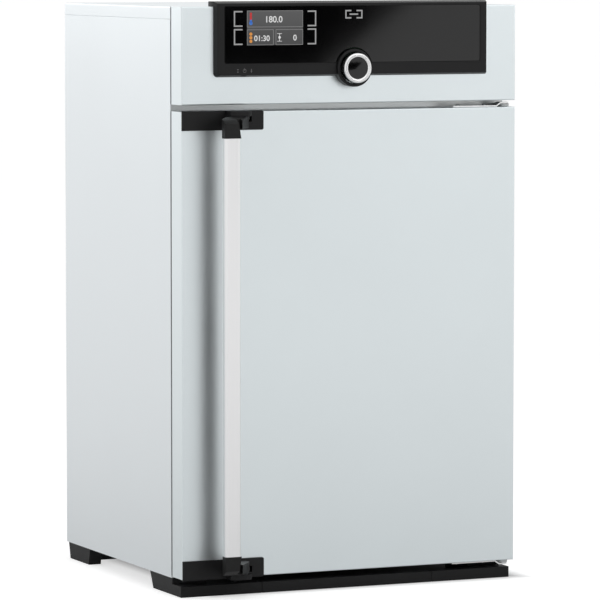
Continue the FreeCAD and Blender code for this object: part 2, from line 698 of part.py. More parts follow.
# Jacket rest: the folded tray that holds the jacket above the base pan
rest = new_body("jacket_tray")
TRAY_FRONT = f"({MOUTH} + frame_flange + hook_claw_length)"
pad(rest, "z", "foot_height + base_sheet", JACKET_LOW,
    rect(f"-{CHAMBER_HALF}", CHAMBER_HALF, TRAY_FRONT, INSULATION_BACK))
cut(rest, "y", TRAY_FRONT, INSULATION_BACK,
    rect(f"-{CHAMBER_HALF} + base_sheet", f"{CHAMBER_HALF} - base_sheet", "foot_height + base_sheet",
         f"{JACKET_LOW} - base_sheet"))
keep(rest)

# Exhaust duct: flanged tube from the chamber's back wall to the rear panel
duct = new_body("exhaust_duct")
spin(duct, "duct_x", DUCT_Z,
     [(CHAMBER_SKIN, "duct_bore"), (BACK, "duct_bore"), (BACK, "duct_bore + duct_wall"),
      (f"{CHAMBER_SKIN} + duct_wall", "duct_bore + duct_wall"),
      (f"{CHAMBER_SKIN} + duct_wall", "duct_bore + duct_wall + duct_flange"),
      (CHAMBER_SKIN, "duct_bore + duct_wall + duct_flange")])
cut(duct, "x", "duct_x - duct_bore - duct_wall - overcut", "duct_x + duct_bore + duct_wall + overcut",
    disc(FLAP_Y, DUCT_Z, "flap_shaft_radius + running_gap"))
keep(duct)

# Exhaust stub: the outside collar that a vent hose slides over
stub = new_body("exhaust_stub")
spin(stub, "duct_x", DUCT_Z,
     [(BACK, "duct_bore + duct_wall / 2"), (f"{BACK} + stub_reach", "duct_bore + duct_wall / 2"),
      (f"{BACK} + stub_reach", "stub_radius"), (f"{BACK} + stub_flange_sheet", "stub_radius"),
      (f"{BACK} + stub_flange_sheet", "stub_radius + stub_flange"), (BACK, "stub_radius + stub_flange")])
soften(stub, "duct_wall / 2", y=[f"{BACK} + stub_reach"])
keep(stub)

# Air flap: a disc on a cross shaft inside the duct, turned by a small motor beside it
flap = new_body("flap_disc")
spin(flap, "duct_x", DUCT_Z,
     [(f"{FLAP_Y} - flap_sheet / 2", "0"), (f"{FLAP_Y} + flap_sheet / 2", "0"),
      (f"{FLAP_Y} + flap_sheet / 2", "duct_bore - flap_clearance"),
      (f"{FLAP_Y} - flap_sheet / 2", "duct_bore - flap_clearance")])
pad(flap, "x", "duct_x - flap_boss_half", "duct_x + flap_boss_half",
    disc(FLAP_Y, DUCT_Z, "flap_shaft_radius + flap_sheet"))
cut(flap, "x", "duct_x - duct_bore", "duct_x + duct_bore", disc(FLAP_Y, DUCT_Z, "flap_shaft_radius"))
shaft = rod("flap_shaft", "flap_shaft_radius", "x", "duct_x - duct_bore - duct_wall", FLAP_Y, DUCT_Z,
            "2 * duct_bore + 2 * duct_wall + motor_size / 3")
shaft.Label = "flap_shaft"
motor = new_body("flap_motor")
MOTOR_LEFT = "(duct_x + duct_bore + duct_wall + fit_gap)"
pad(motor, "x", MOTOR_LEFT, f"{MOTOR_LEFT} + motor_size",
    rect(f"{FLAP_Y} - motor_size / 2", f"{FLAP_Y} + motor_size / 2", f"{DUCT_Z} - motor_size / 2",
         f"{DUCT_Z} + motor_size / 2"))
soften(motor, "motor_size / 10", y=[f"{FLAP_Y} - motor_size / 2", f"{FLAP_Y} + motor_size / 2"],
       z=[f"{DUCT_Z} - motor_size / 2", f"{DUCT_Z} + motor_size / 2"])
cut(motor, "x", MOTOR_LEFT, f"{MOTOR_LEFT} + motor_size / 2",
    disc(FLAP_Y, DUCT_Z, "flap_shaft_radius + running_gap"))
keep(flap, shaft, motor)

# Fresh air duct: a plain tube from the louvres in the rear panel to the chamber
inlet = new_body("fresh_air_duct")
spin(inlet, "inlet_x", INLET_Z,
     [(CHAMBER_SKIN, "inlet_radius - duct_wall"), (REAR_INNER, "inlet_radius - duct_wall"),
      (REAR_INNER, "inlet_radius"), (f"{CHAMBER_SKIN} + duct_wall", "inlet_radius"),
      (f"{CHAMBER_SKIN} + duct_wall", "inlet_radius + duct_flange"),
      (CHAMBER_SKIN, "inlet_radius + duct_flange")])
keep(inlet)

# Mains inlet: recessed appliance socket, low on the rear panel
mains = new_body("mains_inlet")
MAINS_BACK = f"({BACK} + mains_rim)"
pad(mains, "y", f"{BACK} - mains_depth", BACK,
    rect(f"{MAINS_X} - mains_width / 2 + fit_gap", f"{MAINS_X} + mains_width / 2 - fit_gap",
         "mains_z - mains_height / 2 + fit_gap", "mains_z + mains_height / 2 - fit_gap"))
pad(mains, "y", BACK, MAINS_BACK,
    rect(f"{MAINS_X} - mains_width / 2 - 3 * mains_rim", f"{MAINS_X} + mains_width / 2 + 3 * mains_rim",
         "mains_z - mains_height / 2 - mains_rim", "mains_z + mains_height / 2 + mains_rim"))
soften(mains, "2 * mains_rim", y=(BACK, MAINS_BACK), z=["mains_z - mains_height / 2 - mains_rim",
       "mains_z + mains_height / 2 + mains_rim"], x=[f"{MAINS_X} - mains_width / 2 - 3 * mains_rim",
       f"{MAINS_X} + mains_width / 2 + 3 * mains_rim"])
SOCKET_LEFT = f"({MAINS_X} - socket_half_width)"
SOCKET_RIGHT = f"({MAINS_X} + socket_half_width)"
SOCKET_LOW = "(mains_z - socket_half_height)"
SOCKET_TOP = "(mains_z + socket_half_height)"
cut(mains, "y", f"{BACK} - socket_depth", MAINS_BACK,
    [(SOCKET_LEFT, SOCKET_LOW), (SOCKET_RIGHT, SOCKET_LOW), (SOCKET_RIGHT, "mains_z + socket_shoulder_rise"),
     (f"{MAINS_X} + socket_shoulder", SOCKET_TOP), (f"{MAINS_X} - socket_shoulder", SOCKET_TOP),
     (SOCKET_LEFT, "mains_z + socket_shoulder_rise")])
keep(mains)

# Power unit: supply and relay box on top of the insulation
supply = new_body("power_unit")
SUPPLY_FRONT = f"({MOUTH} + frame_flange + heater_margin)"
pad(supply, "z", JACKET_TOP, f"{JACKET_TOP} + power_unit_height",
    rect("-power_unit_width / 2", "power_unit_width / 2", SUPPLY_FRONT, f"{SUPPLY_FRONT} + power_unit_depth"))
soften(supply, "casing_edge_radius", z=[f"{JACKET_TOP} + power_unit_height"])
keep(supply)


def screw(name, x, y, z):
    """A pan-head screw that enters along -Y, with its head standing on the given place."""
    head = rod(f"{name}_head", "screw_head_radius", "y", x, y, z, "screw_head_height")
    stem = rod(f"{name}_stem", "screw_radius", "y", x, f"{y} - screw_length", z, "screw_length")
    whole = doc.addObject("Part::Fuse", name)
    whole.Base = head
    whole.Tool = stem
    return whole


# Rear panel screws: five down each side, into the flanges of the side panels
rear_screws = []
for number_up, level in enumerate(REAR_SCREW_LEVELS, start=1):
    for side, word in (("-", "left"), ("", "right")):
        rear_screws.append(screw(f"rear_screw_{word}_{number_up}", f"{side}{REAR_SCREW_X}", BACK, level))
keep(group("rear_panel_screws", rear_screws))

# Front feet and skirt: black moulded bases, with a step down under the door
SKIRT_HALF = f"({HALF} - skirt_inset)"
SKIRT_FRONT = f"({FRONT} + skirt_front_inset)"
STEP = f"({MOUTH} + fit_gap)"
FOOT_END = f"({CASE_FRONT} + front_foot_length)"
foot = new_body("foot_front_left")
pad(foot, "x", f"-{SKIRT_HALF}", f"-{SKIRT_HALF} + foot_width",
    [(SKIRT_FRONT, "0"), (f"{FOOT_END} - foot_taper", "0"), (FOOT_END, "foot_height"),
     (STEP, "foot_height"), (STEP, "skirt_top"), (SKIRT_FRONT, "skirt_top")])
pad(foot, "x", f"-{SKIRT_HALF} + foot_width", "-skirt_joint - skirt_seam / 2",
    rect(SKIRT_FRONT, f"{SKIRT_FRONT} + skirt_depth", "0", "skirt_top"))
cut(foot, "x", f"-{SKIRT_HALF} + foot_wall", f"-{SKIRT_HALF} + foot_width - foot_wall",
    rect(f"{STEP} + foot_wall", f"{FOOT_END} - foot_taper - foot_wall", "0", "foot_height - foot_wall"))
keep(foot, mirrored("foot_front_right", foot, "x", "0"))
skirt = new_body("front_skirt")
pad(skirt, "x", "-skirt_joint + skirt_seam / 2", "skirt_joint - skirt_seam / 2",
    rect(SKIRT_FRONT, f"{SKIRT_FRONT} + skirt_depth", "0", "skirt_top"))
cut(skirt, "x", "-skirt_joint + foot_wall", "skirt_joint - foot_wall",
    rect(f"{SKIRT_FRONT} + foot_wall", f"{SKIRT_FRONT} + skirt_depth", "0", "skirt_top - foot_wall"))
keep(skirt)

# Rear feet and the crossbar between them
REAR_END = f"({BACK} - skirt_inset)"
back_foot = new_body("foot_rear_left")
pad(back_foot, "x", f"-{SKIRT_HALF}", f"-{SKIRT_HALF} + rear_foot_width",
    [(f"{REAR_END} - rear_foot_length", "0"), (f"{REAR_END} - foot_taper / 2", "0"), (REAR_END, "foot_height"),
     (f"{REAR_END} - rear_foot_length - foot_taper / 2", "foot_height")])
cut(back_foot, "x", f"-{SKIRT_HALF} + foot_wall", f"-{SKIRT_HALF} + rear_foot_width - foot_wall",
    rect(f"{REAR_END} - rear_foot_length + foot_wall", f"{REAR_END} - foot_taper", "0",
         "foot_height - foot_wall"))
keep(group("rear_feet", [back_foot, mirrored("foot_rear_right", back_foot, "x", "0")]))
crossbar = new_body("rear_crossbar")
CROSSBAR_Y = f"({BACK} - crossbar_from_back)"
pad(crossbar, "x", f"-{SKIRT_HALF} + rear_foot_width", f"{SKIRT_HALF} - rear_foot_width",
    rect(CROSSBAR_Y, f"{CROSSBAR_Y} + crossbar_depth", "crossbar_low", "foot_height"))
keep(crossbar)

# Hinge lugs: cast arms on the front frame that reach over and under the door
lug = new_body("hinge_lug_bottom")
pad(lug, "z", LUG_LOW, LUG_TOP, disc(HINGE_X, HINGE_Y, "hinge_lug_radius"))
pad(lug, "z", LUG_LOW, LUG_TOP,
    rect(f"{HINGE_X} - hinge_lug_radius / 2", f"{HINGE_X} + hinge_lug_radius", HINGE_Y, CASE_FRONT))
cut(lug, "z", LUG_LOW, LUG_TOP, disc(HINGE_X, HINGE_Y, "hinge_pin_radius"))
keep(group("hinge_lugs", [lug, mirrored("hinge_lug_top", lug, "z", MID)]))
STRAP_EYE_TOP = f"({LUG_LOW} - fit_gap)"
PIN_LOW = f"({STRAP_EYE_TOP} - strap_sheet)"
hinge_pin = rod("hinge_pin_bottom", "hinge_pin_radius", "z", HINGE_X, HINGE_Y, PIN_LOW,
                f"door_low + hinge_pin_depth - ({PIN_LOW})")
keep(group("hinge_pins", [hinge_pin, mirrored("hinge_pin_top", hinge_pin, "z", MID)]))

# Hinge straps: steel strips on the door's ends, cranked to pass over the lugs
strap = new_body("hinge_strap_bottom")
STRAP_LEFT = f"({HINGE_X} - strap_length)"
RISE_END = f"({HINGE_X} - strap_crank_setback + strap_crank_length)"
RISE_START = f"({HINGE_X} - strap_crank_setback)"
pad(strap, "y", f"{HINGE_Y} - strap_width / 2", f"{HINGE_Y} + strap_width / 2",
    [(STRAP_LEFT, "door_low"), (RISE_START, "door_low"), (RISE_END, STRAP_EYE_TOP), (HINGE_X, STRAP_EYE_TOP),
     (HINGE_X, PIN_LOW), (f"{RISE_END} - strap_sheet / 3", PIN_LOW),
     (f"{RISE_START} - strap_sheet / 3", "door_low - strap_sheet"), (STRAP_LEFT, "door_low - strap_sheet")])
pad(strap, "z", PIN_LOW, STRAP_EYE_TOP, disc(HINGE_X, HINGE_Y, "strap_width / 2"))
cut(strap, "z", PIN_LOW, STRAP_EYE_TOP, disc(HINGE_X, HINGE_Y, "hinge_pin_radius + running_gap"))
keep(group("hinge_straps", [strap, mirrored("hinge_strap_top", strap, "z", MID)]))

# Hinge screws: two in each strap, with their heads outwards
strap_screws = []
for place in range(2):
    spot = f"({STRAP_LEFT} + strap_screw_first + {place} * strap_screw_pitch)"
    tag = f"strap_screw_{place + 1}"
    head = doc.addObject("Part::Cone", f"{tag}_head")
    bind(head, "Radius1", "strap_screw_neck")
    bind(head, "Radius2", "screw_head_radius")
    bind(head, "Height", "screw_head_height")
    bind(head, "Placement.Base.x", spot)
    bind(head, "Placement.Base.y", HINGE_Y)
    bind(head, "Placement.Base.z", "door_low - strap_sheet - screw_head_height")
    strap_screws.append(head)
    strap_screws.append(mirrored(f"{tag}_top", head, "z", MID))
keep(group("hinge_screws", strap_screws))

# Door outer panel: a deep folded tray with rounded front edges and two latch slots
skin = new_body("door_outer_panel")
pad(skin, "y", FRONT, DOOR_BACK, rect(f"-{HALF}", HALF, "door_low", DOOR_TOP))
soften(skin, "door_edge_radius", y=[FRONT])
cut(skin, "y", f"{FRONT} + door_sheet", f"{DOOR_BACK} - door_sheet",
    rect(f"-{HALF} + door_sheet", f"{HALF} - door_sheet", "door_low + door_sheet", f"{DOOR_TOP} - door_sheet"))
cut(skin, "y", f"{DOOR_BACK} - door_sheet", DOOR_BACK,
    rect(f"-{HALF} + panel_flange", f"{HALF} - panel_flange", "door_low + panel_flange",
         f"{DOOR_TOP} - panel_flange"))
FRONT_SLOT = rect(f"{PIVOT_X} - hook_slot_left / 4", f"{HOOK_RIGHT} + hook_clearance",
                  f"{SLOT_MID} - hook_slot_height / 2", f"{SLOT_MID} + hook_slot_height / 2")
FRONT_SLOT_TOP = [(x, f"2 * {MID} - ({z})") for x, z in FRONT_SLOT]
cut(skin, "y", FRONT, f"{FRONT} + door_sheet", FRONT_SLOT, FRONT_SLOT_TOP)
for low, high in (("door_low", "door_low + door_sheet"), (f"{DOOR_TOP} - door_sheet", DOOR_TOP)):
    cut(skin, "z", low, high, disc(HINGE_X, HINGE_Y, "hinge_pin_radius + hinge_bush_wall"))
cut(skin, "y", f"{DOOR_BACK} - door_sheet", DOOR_BACK, HOOK_SLOT, HOOK_SLOT_TOP)
keep(skin)

# Hinge bushes: flanged sleeves in the door's ends that turn on the pins
bush = new_body("hinge_bush_bottom")
pad(bush, "z", "door_low", "door_low + hinge_pin_depth + door_sheet",
    disc(HINGE_X, HINGE_Y, "hinge_pin_radius + hinge_bush_wall"))
pad(bush, "z", "door_low + door_sheet", "door_low + 3 * door_sheet",
    disc(HINGE_X, HINGE_Y, "hinge_pin_radius + 2 * hinge_bush_wall"))
cut(bush, "z", "door_low", "door_low + hinge_pin_depth + running_gap",
    disc(HINGE_X, HINGE_Y, "hinge_pin_radius + running_gap"))
keep(group("hinge_bushes", [bush, mirrored("hinge_bush_top", bush, "z", MID)]))

# Door inner panel: closing sheet with a raised plinth that stands inside the seal
closing = new_body("door_inner_panel")
PLINTH_HALF = f"({CHAMBER_HALF} - plinth_inset)"
PLINTH_UP = f"({CHAMBER_HEIGHT} / 2 - plinth_inset)"
pad(closing, "y", f"{DOOR_BACK} - 2 * door_sheet", f"{DOOR_BACK} - door_sheet",
    rect(f"-{HALF} + door_sheet + fit_gap", f"{HALF} - door_sheet - fit_gap",
         "door_low + door_sheet + fit_gap", f"{DOOR_TOP} - door_sheet - fit_gap"))
pad(closing, "y", f"{DOOR_BACK} - door_sheet", f"{DOOR_BACK} + plinth_height",
    rect(f"-{PLINTH_HALF}", PLINTH_HALF, f"{MID} - {PLINTH_UP}", f"{MID} + {PLINTH_UP}"))
soften(closing, "chamber_corner", x=[f"-{PLINTH_HALF}", PLINTH_HALF],
       z=[f"{MID} - {PLINTH_UP}", f"{MID} + {PLINTH_UP}"])
soften(closing, "plinth_height / 2", y=[f"{DOOR_BACK} + plinth_height"])
cut(closing, "y", f"{DOOR_BACK} - 2 * door_sheet", f"{DOOR_BACK} + plinth_height - door_sheet",
    rect(f"-{PLINTH_HALF} + plinth_height", f"{PLINTH_HALF} - plinth_height",
         f"{MID} - {PLINTH_UP} + plinth_height", f"{MID} + {PLINTH_UP} - plinth_height"))
cut(closing, "y", f"{DOOR_BACK} - 2 * door_sheet", f"{DOOR_BACK} - door_sheet", HOOK_SLOT, HOOK_SLOT_TOP)
keep(closing)

# Door insulation: a wool board between the two door sheets, cut away for the latch hooks
board = new_body("door_insulation")
WOOL_LOW = f"({SLOT_MID} + hook_slot_height / 2 + fit_gap)"
pad(board, "y", f"{FRONT} + door_sheet + fit_gap", f"{DOOR_BACK} - 2 * door_sheet - fit_gap",
    rect(f"-{HALF} + door_sheet + fit_gap", f"{HALF} - door_sheet - fit_gap", WOOL_LOW,
         f"2 * {MID} - {WOOL_LOW}"))
for low, high in (("door_low", "door_low + hinge_pin_depth + 3 * door_sheet"),
                  (f"{DOOR_TOP} - hinge_pin_depth - 3 * door_sheet", DOOR_TOP)):
    cut(board, "z", low, high, disc(HINGE_X, HINGE_Y, "hinge_pin_radius + 2 * hinge_bush_wall + fit_gap"))
keep(board)

# Door seal: a rounded silicone frame that lies around the chamber mouth
seal = new_body("door_seal")
SEAL_IN = f"({CHAMBER_HALF} + seal_margin)"
SEAL_UP = f"({CHAMBER_HEIGHT} / 2 + seal_margin)"
SEAL_OUT = f"({SEAL_IN} + seal_width)"
SEAL_OVER = f"({SEAL_UP} + seal_width)"
pad(seal, "y", DOOR_BACK, f"{CASE_FRONT} - fit_gap",
    rect(f"-{SEAL_OUT}", SEAL_OUT, f"{MID} - {SEAL_OVER}", f"{MID} + {SEAL_OVER}"))
cut(seal, "y", DOOR_BACK, CASE_FRONT, rect(f"-{SEAL_IN}", SEAL_IN, f"{MID} - {SEAL_UP}", f"{MID} + {SEAL_UP}"))
soften(seal, "chamber_corner + seal_margin", x=[f"-{SEAL_IN}", SEAL_IN],
       z=[f"{MID} - {SEAL_UP}", f"{MID} + {SEAL_UP}"])
soften(seal, "chamber_corner + seal_margin + seal_width", x=[f"-{SEAL_OUT}", SEAL_OUT],
       z=[f"{MID} - {SEAL_OVER}", f"{MID} + {SEAL_OVER}"])
soften(seal, "seal_round", y=[f"{CASE_FRONT} - fit_gap"])
keep(seal)

# Latch brackets: black plates on the door's corners, each with a half-round ledge for the pivot
bracket = new_body("latch_bracket_bottom")
PLATE_FRONT = f"({FRONT} - bracket_thickness)"
BRACKET_TOP = f"({BRACKET_LOW} + bracket_height)"
PIN_SEAT = f"({BRACKET_LOW} + ledge_floor)"
pad(bracket, "y", PLATE_FRONT, FRONT, rect(f"-{HALF}", f"-{HALF} + bracket_width", BRACKET_LOW, BRACKET_TOP))
soften(bracket, "bracket_corner", x=[f"-{HALF} + bracket_width"], z=[BRACKET_LOW, BRACKET_TOP])
soften(bracket, "bracket_thickness / 5", y=[PLATE_FRONT])
pad(bracket, "z", BRACKET_LOW, LEDGE_TOP,
    rect(f"{PIVOT_X} - ledge_left", f"{PIVOT_X} + ledge_right", f"{FRONT} - ledge_reach", FRONT))
soften(bracket, "ledge_corner", x=[f"{PIVOT_X} - ledge_left", f"{PIVOT_X} + ledge_right"],
       y=[f"{FRONT} - ledge_reach"])
cut(bracket, "z", PIN_SEAT, LEDGE_TOP, disc(PIVOT_X, PIVOT_Y, "pivot_pin_radius"))
cut(bracket, "y", PLATE_FRONT, FRONT, rect(f"{PIVOT_X} - hook_slot_left / 4", f"{HOOK_RIGHT} + hook_clearance",
    LEDGE_TOP, f"{SLOT_MID} + hook_slot_height / 2"))
keep(bracket, mirrored("latch_bracket_top", bracket, "z", MID))

# Handle pins: steel pins pressed into the ledges
ledge_pin = rod("handle_pin_bottom", "pivot_pin_radius", "z", PIVOT_X, PIVOT_Y, PIN_SEAT,
                "ledge_thickness - ledge_floor + fit_gap + hub_height - hub_wall")
keep(group("handle_pins", [ledge_pin, mirrored("handle_pin_top", ledge_pin, "z", MID)]))

# Handle bar: hollow aluminium profile
grip = new_body("handle_bar")
BAR_RIGHT = f"({BAR_LEFT} + bar_width)"
BAR_BACK = f"({BAR_FRONT} + bar_depth)"
pad(grip, "z", BAR_LOW, f"2 * {MID} - {BAR_LOW}", rect(BAR_LEFT, BAR_RIGHT, BAR_FRONT, BAR_BACK))
soften(grip, "bar_round", x=[BAR_LEFT, BAR_RIGHT], y=[BAR_FRONT, BAR_BACK])
cut(grip, "z", BAR_LOW, f"2 * {MID} - {BAR_LOW}",
    rect(f"{BAR_LEFT} + bar_wall", f"{BAR_RIGHT} - bar_wall", f"{BAR_FRONT} + bar_wall",
         f"{BAR_BACK} - bar_wall"))
keep(grip)

# Handle arms: moulded ends that plug into the bar and turn on the pins
arm = new_body("handle_arm_bottom")
HUB_TOP = f"({HUB_LOW} + hub_height)"
NOSE_LOW = f"({BAR_LOW} - arm_nose_height)"
pad(arm, "z", HUB_LOW, HUB_TOP, disc(PIVOT_X, PIVOT_Y, "hub_radius"))
HUB_REACH = "(hub_radius - arm_hub_step)"
ARM_RIGHT = f"({PIVOT_X} + hub_radius + running_gap)"
ARM_BACK = f"({PIVOT_Y} + hub_radius + running_gap)"
NOSE_RIGHT = f"({BAR_RIGHT} - arm_nose_inset)"
SLOPE_END = f"({BAR_FRONT} + 3 * arm_chamfer_depth)"
pad(arm, "z", HUB_LOW, BAR_LOW,
    [(BAR_LEFT, BAR_FRONT), (BAR_RIGHT, BAR_FRONT),
     (f"{PIVOT_X} + {HUB_REACH}", f"{PIVOT_Y} - hub_radius / 2"),
     (f"{PIVOT_X} - hub_radius / 2", f"{PIVOT_Y} + {HUB_REACH}"), (BAR_LEFT, BAR_BACK)])
cut(arm, "x", BAR_LEFT, ARM_RIGHT,
    [(BAR_FRONT, HUB_LOW), (SLOPE_END, HUB_LOW),
     (f"{BAR_FRONT} + arm_chamfer_depth", f"{NOSE_LOW} - arm_chamfer_height"), (BAR_FRONT, NOSE_LOW)])
cut(arm, "x", BAR_LEFT, ARM_RIGHT,
    [(BAR_BACK, BAR_LOW), (BAR_BACK, f"{HUB_TOP} + bar_depth / 4"), (f"{BAR_BACK} + bar_depth / 4", HUB_TOP),
     (ARM_BACK, HUB_TOP), (ARM_BACK, BAR_LOW)])
cut(arm, "y", BAR_FRONT, BAR_BACK,
    [(BAR_RIGHT, BAR_LOW), (NOSE_RIGHT, NOSE_LOW), (NOSE_RIGHT, HUB_LOW),
     (f"{BAR_RIGHT} + arm_nose_inset", HUB_LOW), (f"{BAR_RIGHT} + arm_nose_inset", BAR_LOW)])
cut(arm, "y", BAR_FRONT, ARM_BACK,
    [(BAR_RIGHT, BAR_LOW), (BAR_RIGHT, f"{HUB_TOP} + arm_nose_inset"),
     (f"{BAR_RIGHT} + arm_nose_inset", HUB_TOP), (ARM_RIGHT, HUB_TOP), (ARM_RIGHT, BAR_LOW)])
soften(arm, "bar_round / 2", x=[BAR_LEFT], y=[BAR_FRONT])
pad(arm, "z", f"{BAR_LOW} - overcut", f"{BAR_LOW} + plug_length",
    rect(f"{BAR_LEFT} + bar_wall + fit_gap / 2", f"{BAR_RIGHT} - bar_wall - fit_gap / 2",
         f"{BAR_FRONT} + bar_wall + fit_gap / 2", f"{BAR_BACK} - bar_wall - fit_gap / 2"))
PIVOT_BORE = disc(PIVOT_X, PIVOT_Y, "pivot_pin_radius + running_gap")
cut(arm, "z", HUB_LOW, f"{HUB_TOP} - hub_wall + fit_gap", PIVOT_BORE)
HOOK_LOW = f"({SLOT_MID} - hook_thickness / 2)"
HOOK_EYE = "(hub_radius - hub_wall)"
HOOK_LEFT = f"({HOOK_RIGHT} - hook_width)"
CLAW_RIGHT = f"({HOOK_RIGHT} + hook_claw)"
HOOK_LEVER = [(f"{PIVOT_X} + hook_offset - hook_width / 2", f"{PIVOT_Y} + hook_width / 2"),
              (f"{PIVOT_X} + hook_width / 2", f"{PIVOT_Y} - hook_width / 4"),
              (HOOK_RIGHT, f"{PIVOT_Y} + hook_offset"), (HOOK_RIGHT, f"{HOOK_TIP} - hook_claw_length"),
              (CLAW_RIGHT, f"{HOOK_TIP} - hook_claw_length"), (CLAW_RIGHT, HOOK_TIP), (HOOK_LEFT, HOOK_TIP),
              (HOOK_LEFT, f"{PIVOT_Y} + hook_offset + hook_claw"), (PIVOT_X, f"{PIVOT_Y} + hook_width / 2")]
cut(arm, "z", f"{HOOK_LOW} - running_gap", f"{HOOK_LOW} + hook_thickness + running_gap",
    disc(PIVOT_X, PIVOT_Y, f"{HOOK_EYE} + running_gap"))
cut(arm, "z", f"{HOOK_LOW} - running_gap", f"{HOOK_LOW} + hook_thickness + running_gap",
    rect(f"{PIVOT_X} - hook_width / 2", f"{PIVOT_X} + hub_radius", PIVOT_Y, f"{PIVOT_Y} + hub_radius"))
cut(arm, "z", f"{HOOK_LOW} - running_gap", f"{HOOK_LOW} + hook_thickness + running_gap",
    rect(f"{PIVOT_X}", f"{PIVOT_X} + hub_radius", f"{PIVOT_Y} - hook_width / 2", f"{PIVOT_Y} + overcut"))
keep(arm, mirrored("handle_arm_top", arm, "z", MID))

# Latch hooks: flat steel levers on the pivot that reach through the door to the strikes
hook = new_body("latch_hook_bottom")
pad(hook, "z", HOOK_LOW, f"{HOOK_LOW} + hook_thickness", disc(PIVOT_X, PIVOT_Y, HOOK_EYE))
pad(hook, "z", HOOK_LOW, f"{HOOK_LOW} + hook_thickness", HOOK_LEVER)
cut(hook, "z", HOOK_LOW, f"{HOOK_LOW} + hook_thickness", PIVOT_BORE)
keep(group("latch_hooks", [hook, mirrored("latch_hook_top", hook, "z", MID)]))

# Control frame: black bezel with drafted sides whose lip hooks over the top of the fascia
bezel = new_body("control_frame")
LIP_TOP = "(casing_height + lip_height)"
ROOT_HALF = "(bezel_half_width + bezel_draft)"
face = pad(bezel, "y", BEZEL_FRONT, FRONT,
           rect(f"-{ROOT_HALF}", ROOT_HALF, f"{BEZEL_LOW} - bezel_draft", LIP_TOP))
bind(face, "TaperAngle", "-atan(bezel_draft / bezel_depth)")
soften(bezel, "bezel_corner", y=(BEZEL_FRONT, FRONT), z=(f"{BEZEL_LOW} - bezel_draft", BEZEL_LOW),
       x=(f"-{ROOT_HALF}", "-bezel_half_width"))
pad(bezel, "y", FRONT, f"{FRONT} + lip_reach", rect(f"-{ROOT_HALF}", ROOT_HALF, "casing_height", LIP_TOP))
soften(bezel, "bezel_draft / 2", y=[BEZEL_FRONT])
soften(bezel, "bezel_draft / 2", y=[f"{FRONT} + lip_reach"], z=[LIP_TOP])
GROOVE_HALF = "(glass_half_width + glass_groove)"
GROOVE_LOW = f"({GLASS_LOW} - glass_groove)"
GROOVE_TOP = f"({GLASS_TOP} + glass_groove)"
cut(bezel, "y", BEZEL_FRONT, GLASS_BACK, rect(f"-{GROOVE_HALF}", GROOVE_HALF, GROOVE_LOW, GROOVE_TOP))
soften(bezel, "glass_corner + glass_groove", x=[f"-{GROOVE_HALF}", GROOVE_HALF], z=[GROOVE_LOW, GROOVE_TOP],
       y=(BEZEL_FRONT, GLASS_BACK))
cut(bezel, "y", GLASS_BACK, FRONT,
    rect("-fascia_window_width / 2 + fit_gap", "fascia_window_width / 2 - fit_gap",
         f"{GLASS_LOW} + bezel_frame_ledge", WINDOW_TOP))
cut(bezel, "y", BEZEL_FRONT, FRONT, disc("0", KNOB_Z, "collar_radius + collar_clearance"))
POCKET_HALF = "(power_button_width / 2 + fit_gap)"
POCKET_DEEP = "(power_button_depth / 2 + fit_gap)"
cut(bezel, "z", f"{BEZEL_LOW} - bezel_draft", f"{POWER_BUTTON_LOW} + power_button_height",
    rect(f"power_button_x - {POCKET_HALF}", f"power_button_x + {POCKET_HALF}",
         f"{MID_BEZEL} - {POCKET_DEEP}", f"{MID_BEZEL} + {POCKET_DEEP}"))
keep(bezel)

# Control glass: black glass sheet with an arc cut out around the knob
glass = new_body("control_glass")
pad(glass, "y", GLASS_FRONT, GLASS_BACK, rect("-glass_half_width", "glass_half_width", GLASS_LOW, GLASS_TOP))
soften(glass, "glass_corner", x=["-glass_half_width", "glass_half_width"], z=[GLASS_LOW, GLASS_TOP])
cut(glass, "y", GLASS_FRONT, GLASS_BACK, disc("0", KNOB_Z, "collar_radius + 4 * glass_groove"))
keep(glass)

# Display module behind the glass and the board that carries it
display = new_body("display_module")
pad(display, "y", f"{GLASS_BACK} + fit_gap", BOARD_FRONT,
    rect("display_left", "display_left + display_width", DISPLAY_LOW, f"{DISPLAY_LOW} + display_height"))
cut(display, "y", f"{GLASS_BACK} + fit_gap", f"{GLASS_BACK} + 3 * fit_gap",
    rect("display_left + display_rim", "display_left + display_width - display_rim",
         f"{DISPLAY_LOW} + display_rim", f"{DISPLAY_LOW} + display_height - display_rim"))
keep(display)
circuit = new_body("control_board")
pad(circuit, "y", BOARD_FRONT, f"{BOARD_FRONT} + board_thickness",
    rect("-fascia_window_width / 2 - bezel_frame_ledge", "fascia_window_width / 2 + bezel_frame_ledge",
         f"{KNOB_Z} - encoder_size", f"{WINDOW_TOP} - fit_gap"))
POST_X = "(fascia_window_width / 2 + bezel_frame_ledge / 2)"
for side in ("-", ""):
    pad(circuit, "y", f"{FRONT} + casing_sheet", BOARD_FRONT,
        disc(f"{side}{POST_X}", f"{WINDOW_LOW} + board_post_inset", "bezel_frame_ledge / 2"),
        disc(f"{side}{POST_X}", f"{WINDOW_TOP} - board_post_inset", "bezel_frame_ledge / 2"))
keep(circuit)

# Knob collar: fixed black ring that the knob sits in
collar = new_body("knob_collar")
spin(collar, "0", KNOB_Z,
     [(f"{FRONT} - collar_depth", "collar_bore"), (FRONT, "collar_bore"), (FRONT, "collar_radius"),
      (f"{FRONT} - collar_depth", "collar_radius")])
soften(collar, "glass_thickness", y=[f"{FRONT} - collar_depth"])
keep(collar)

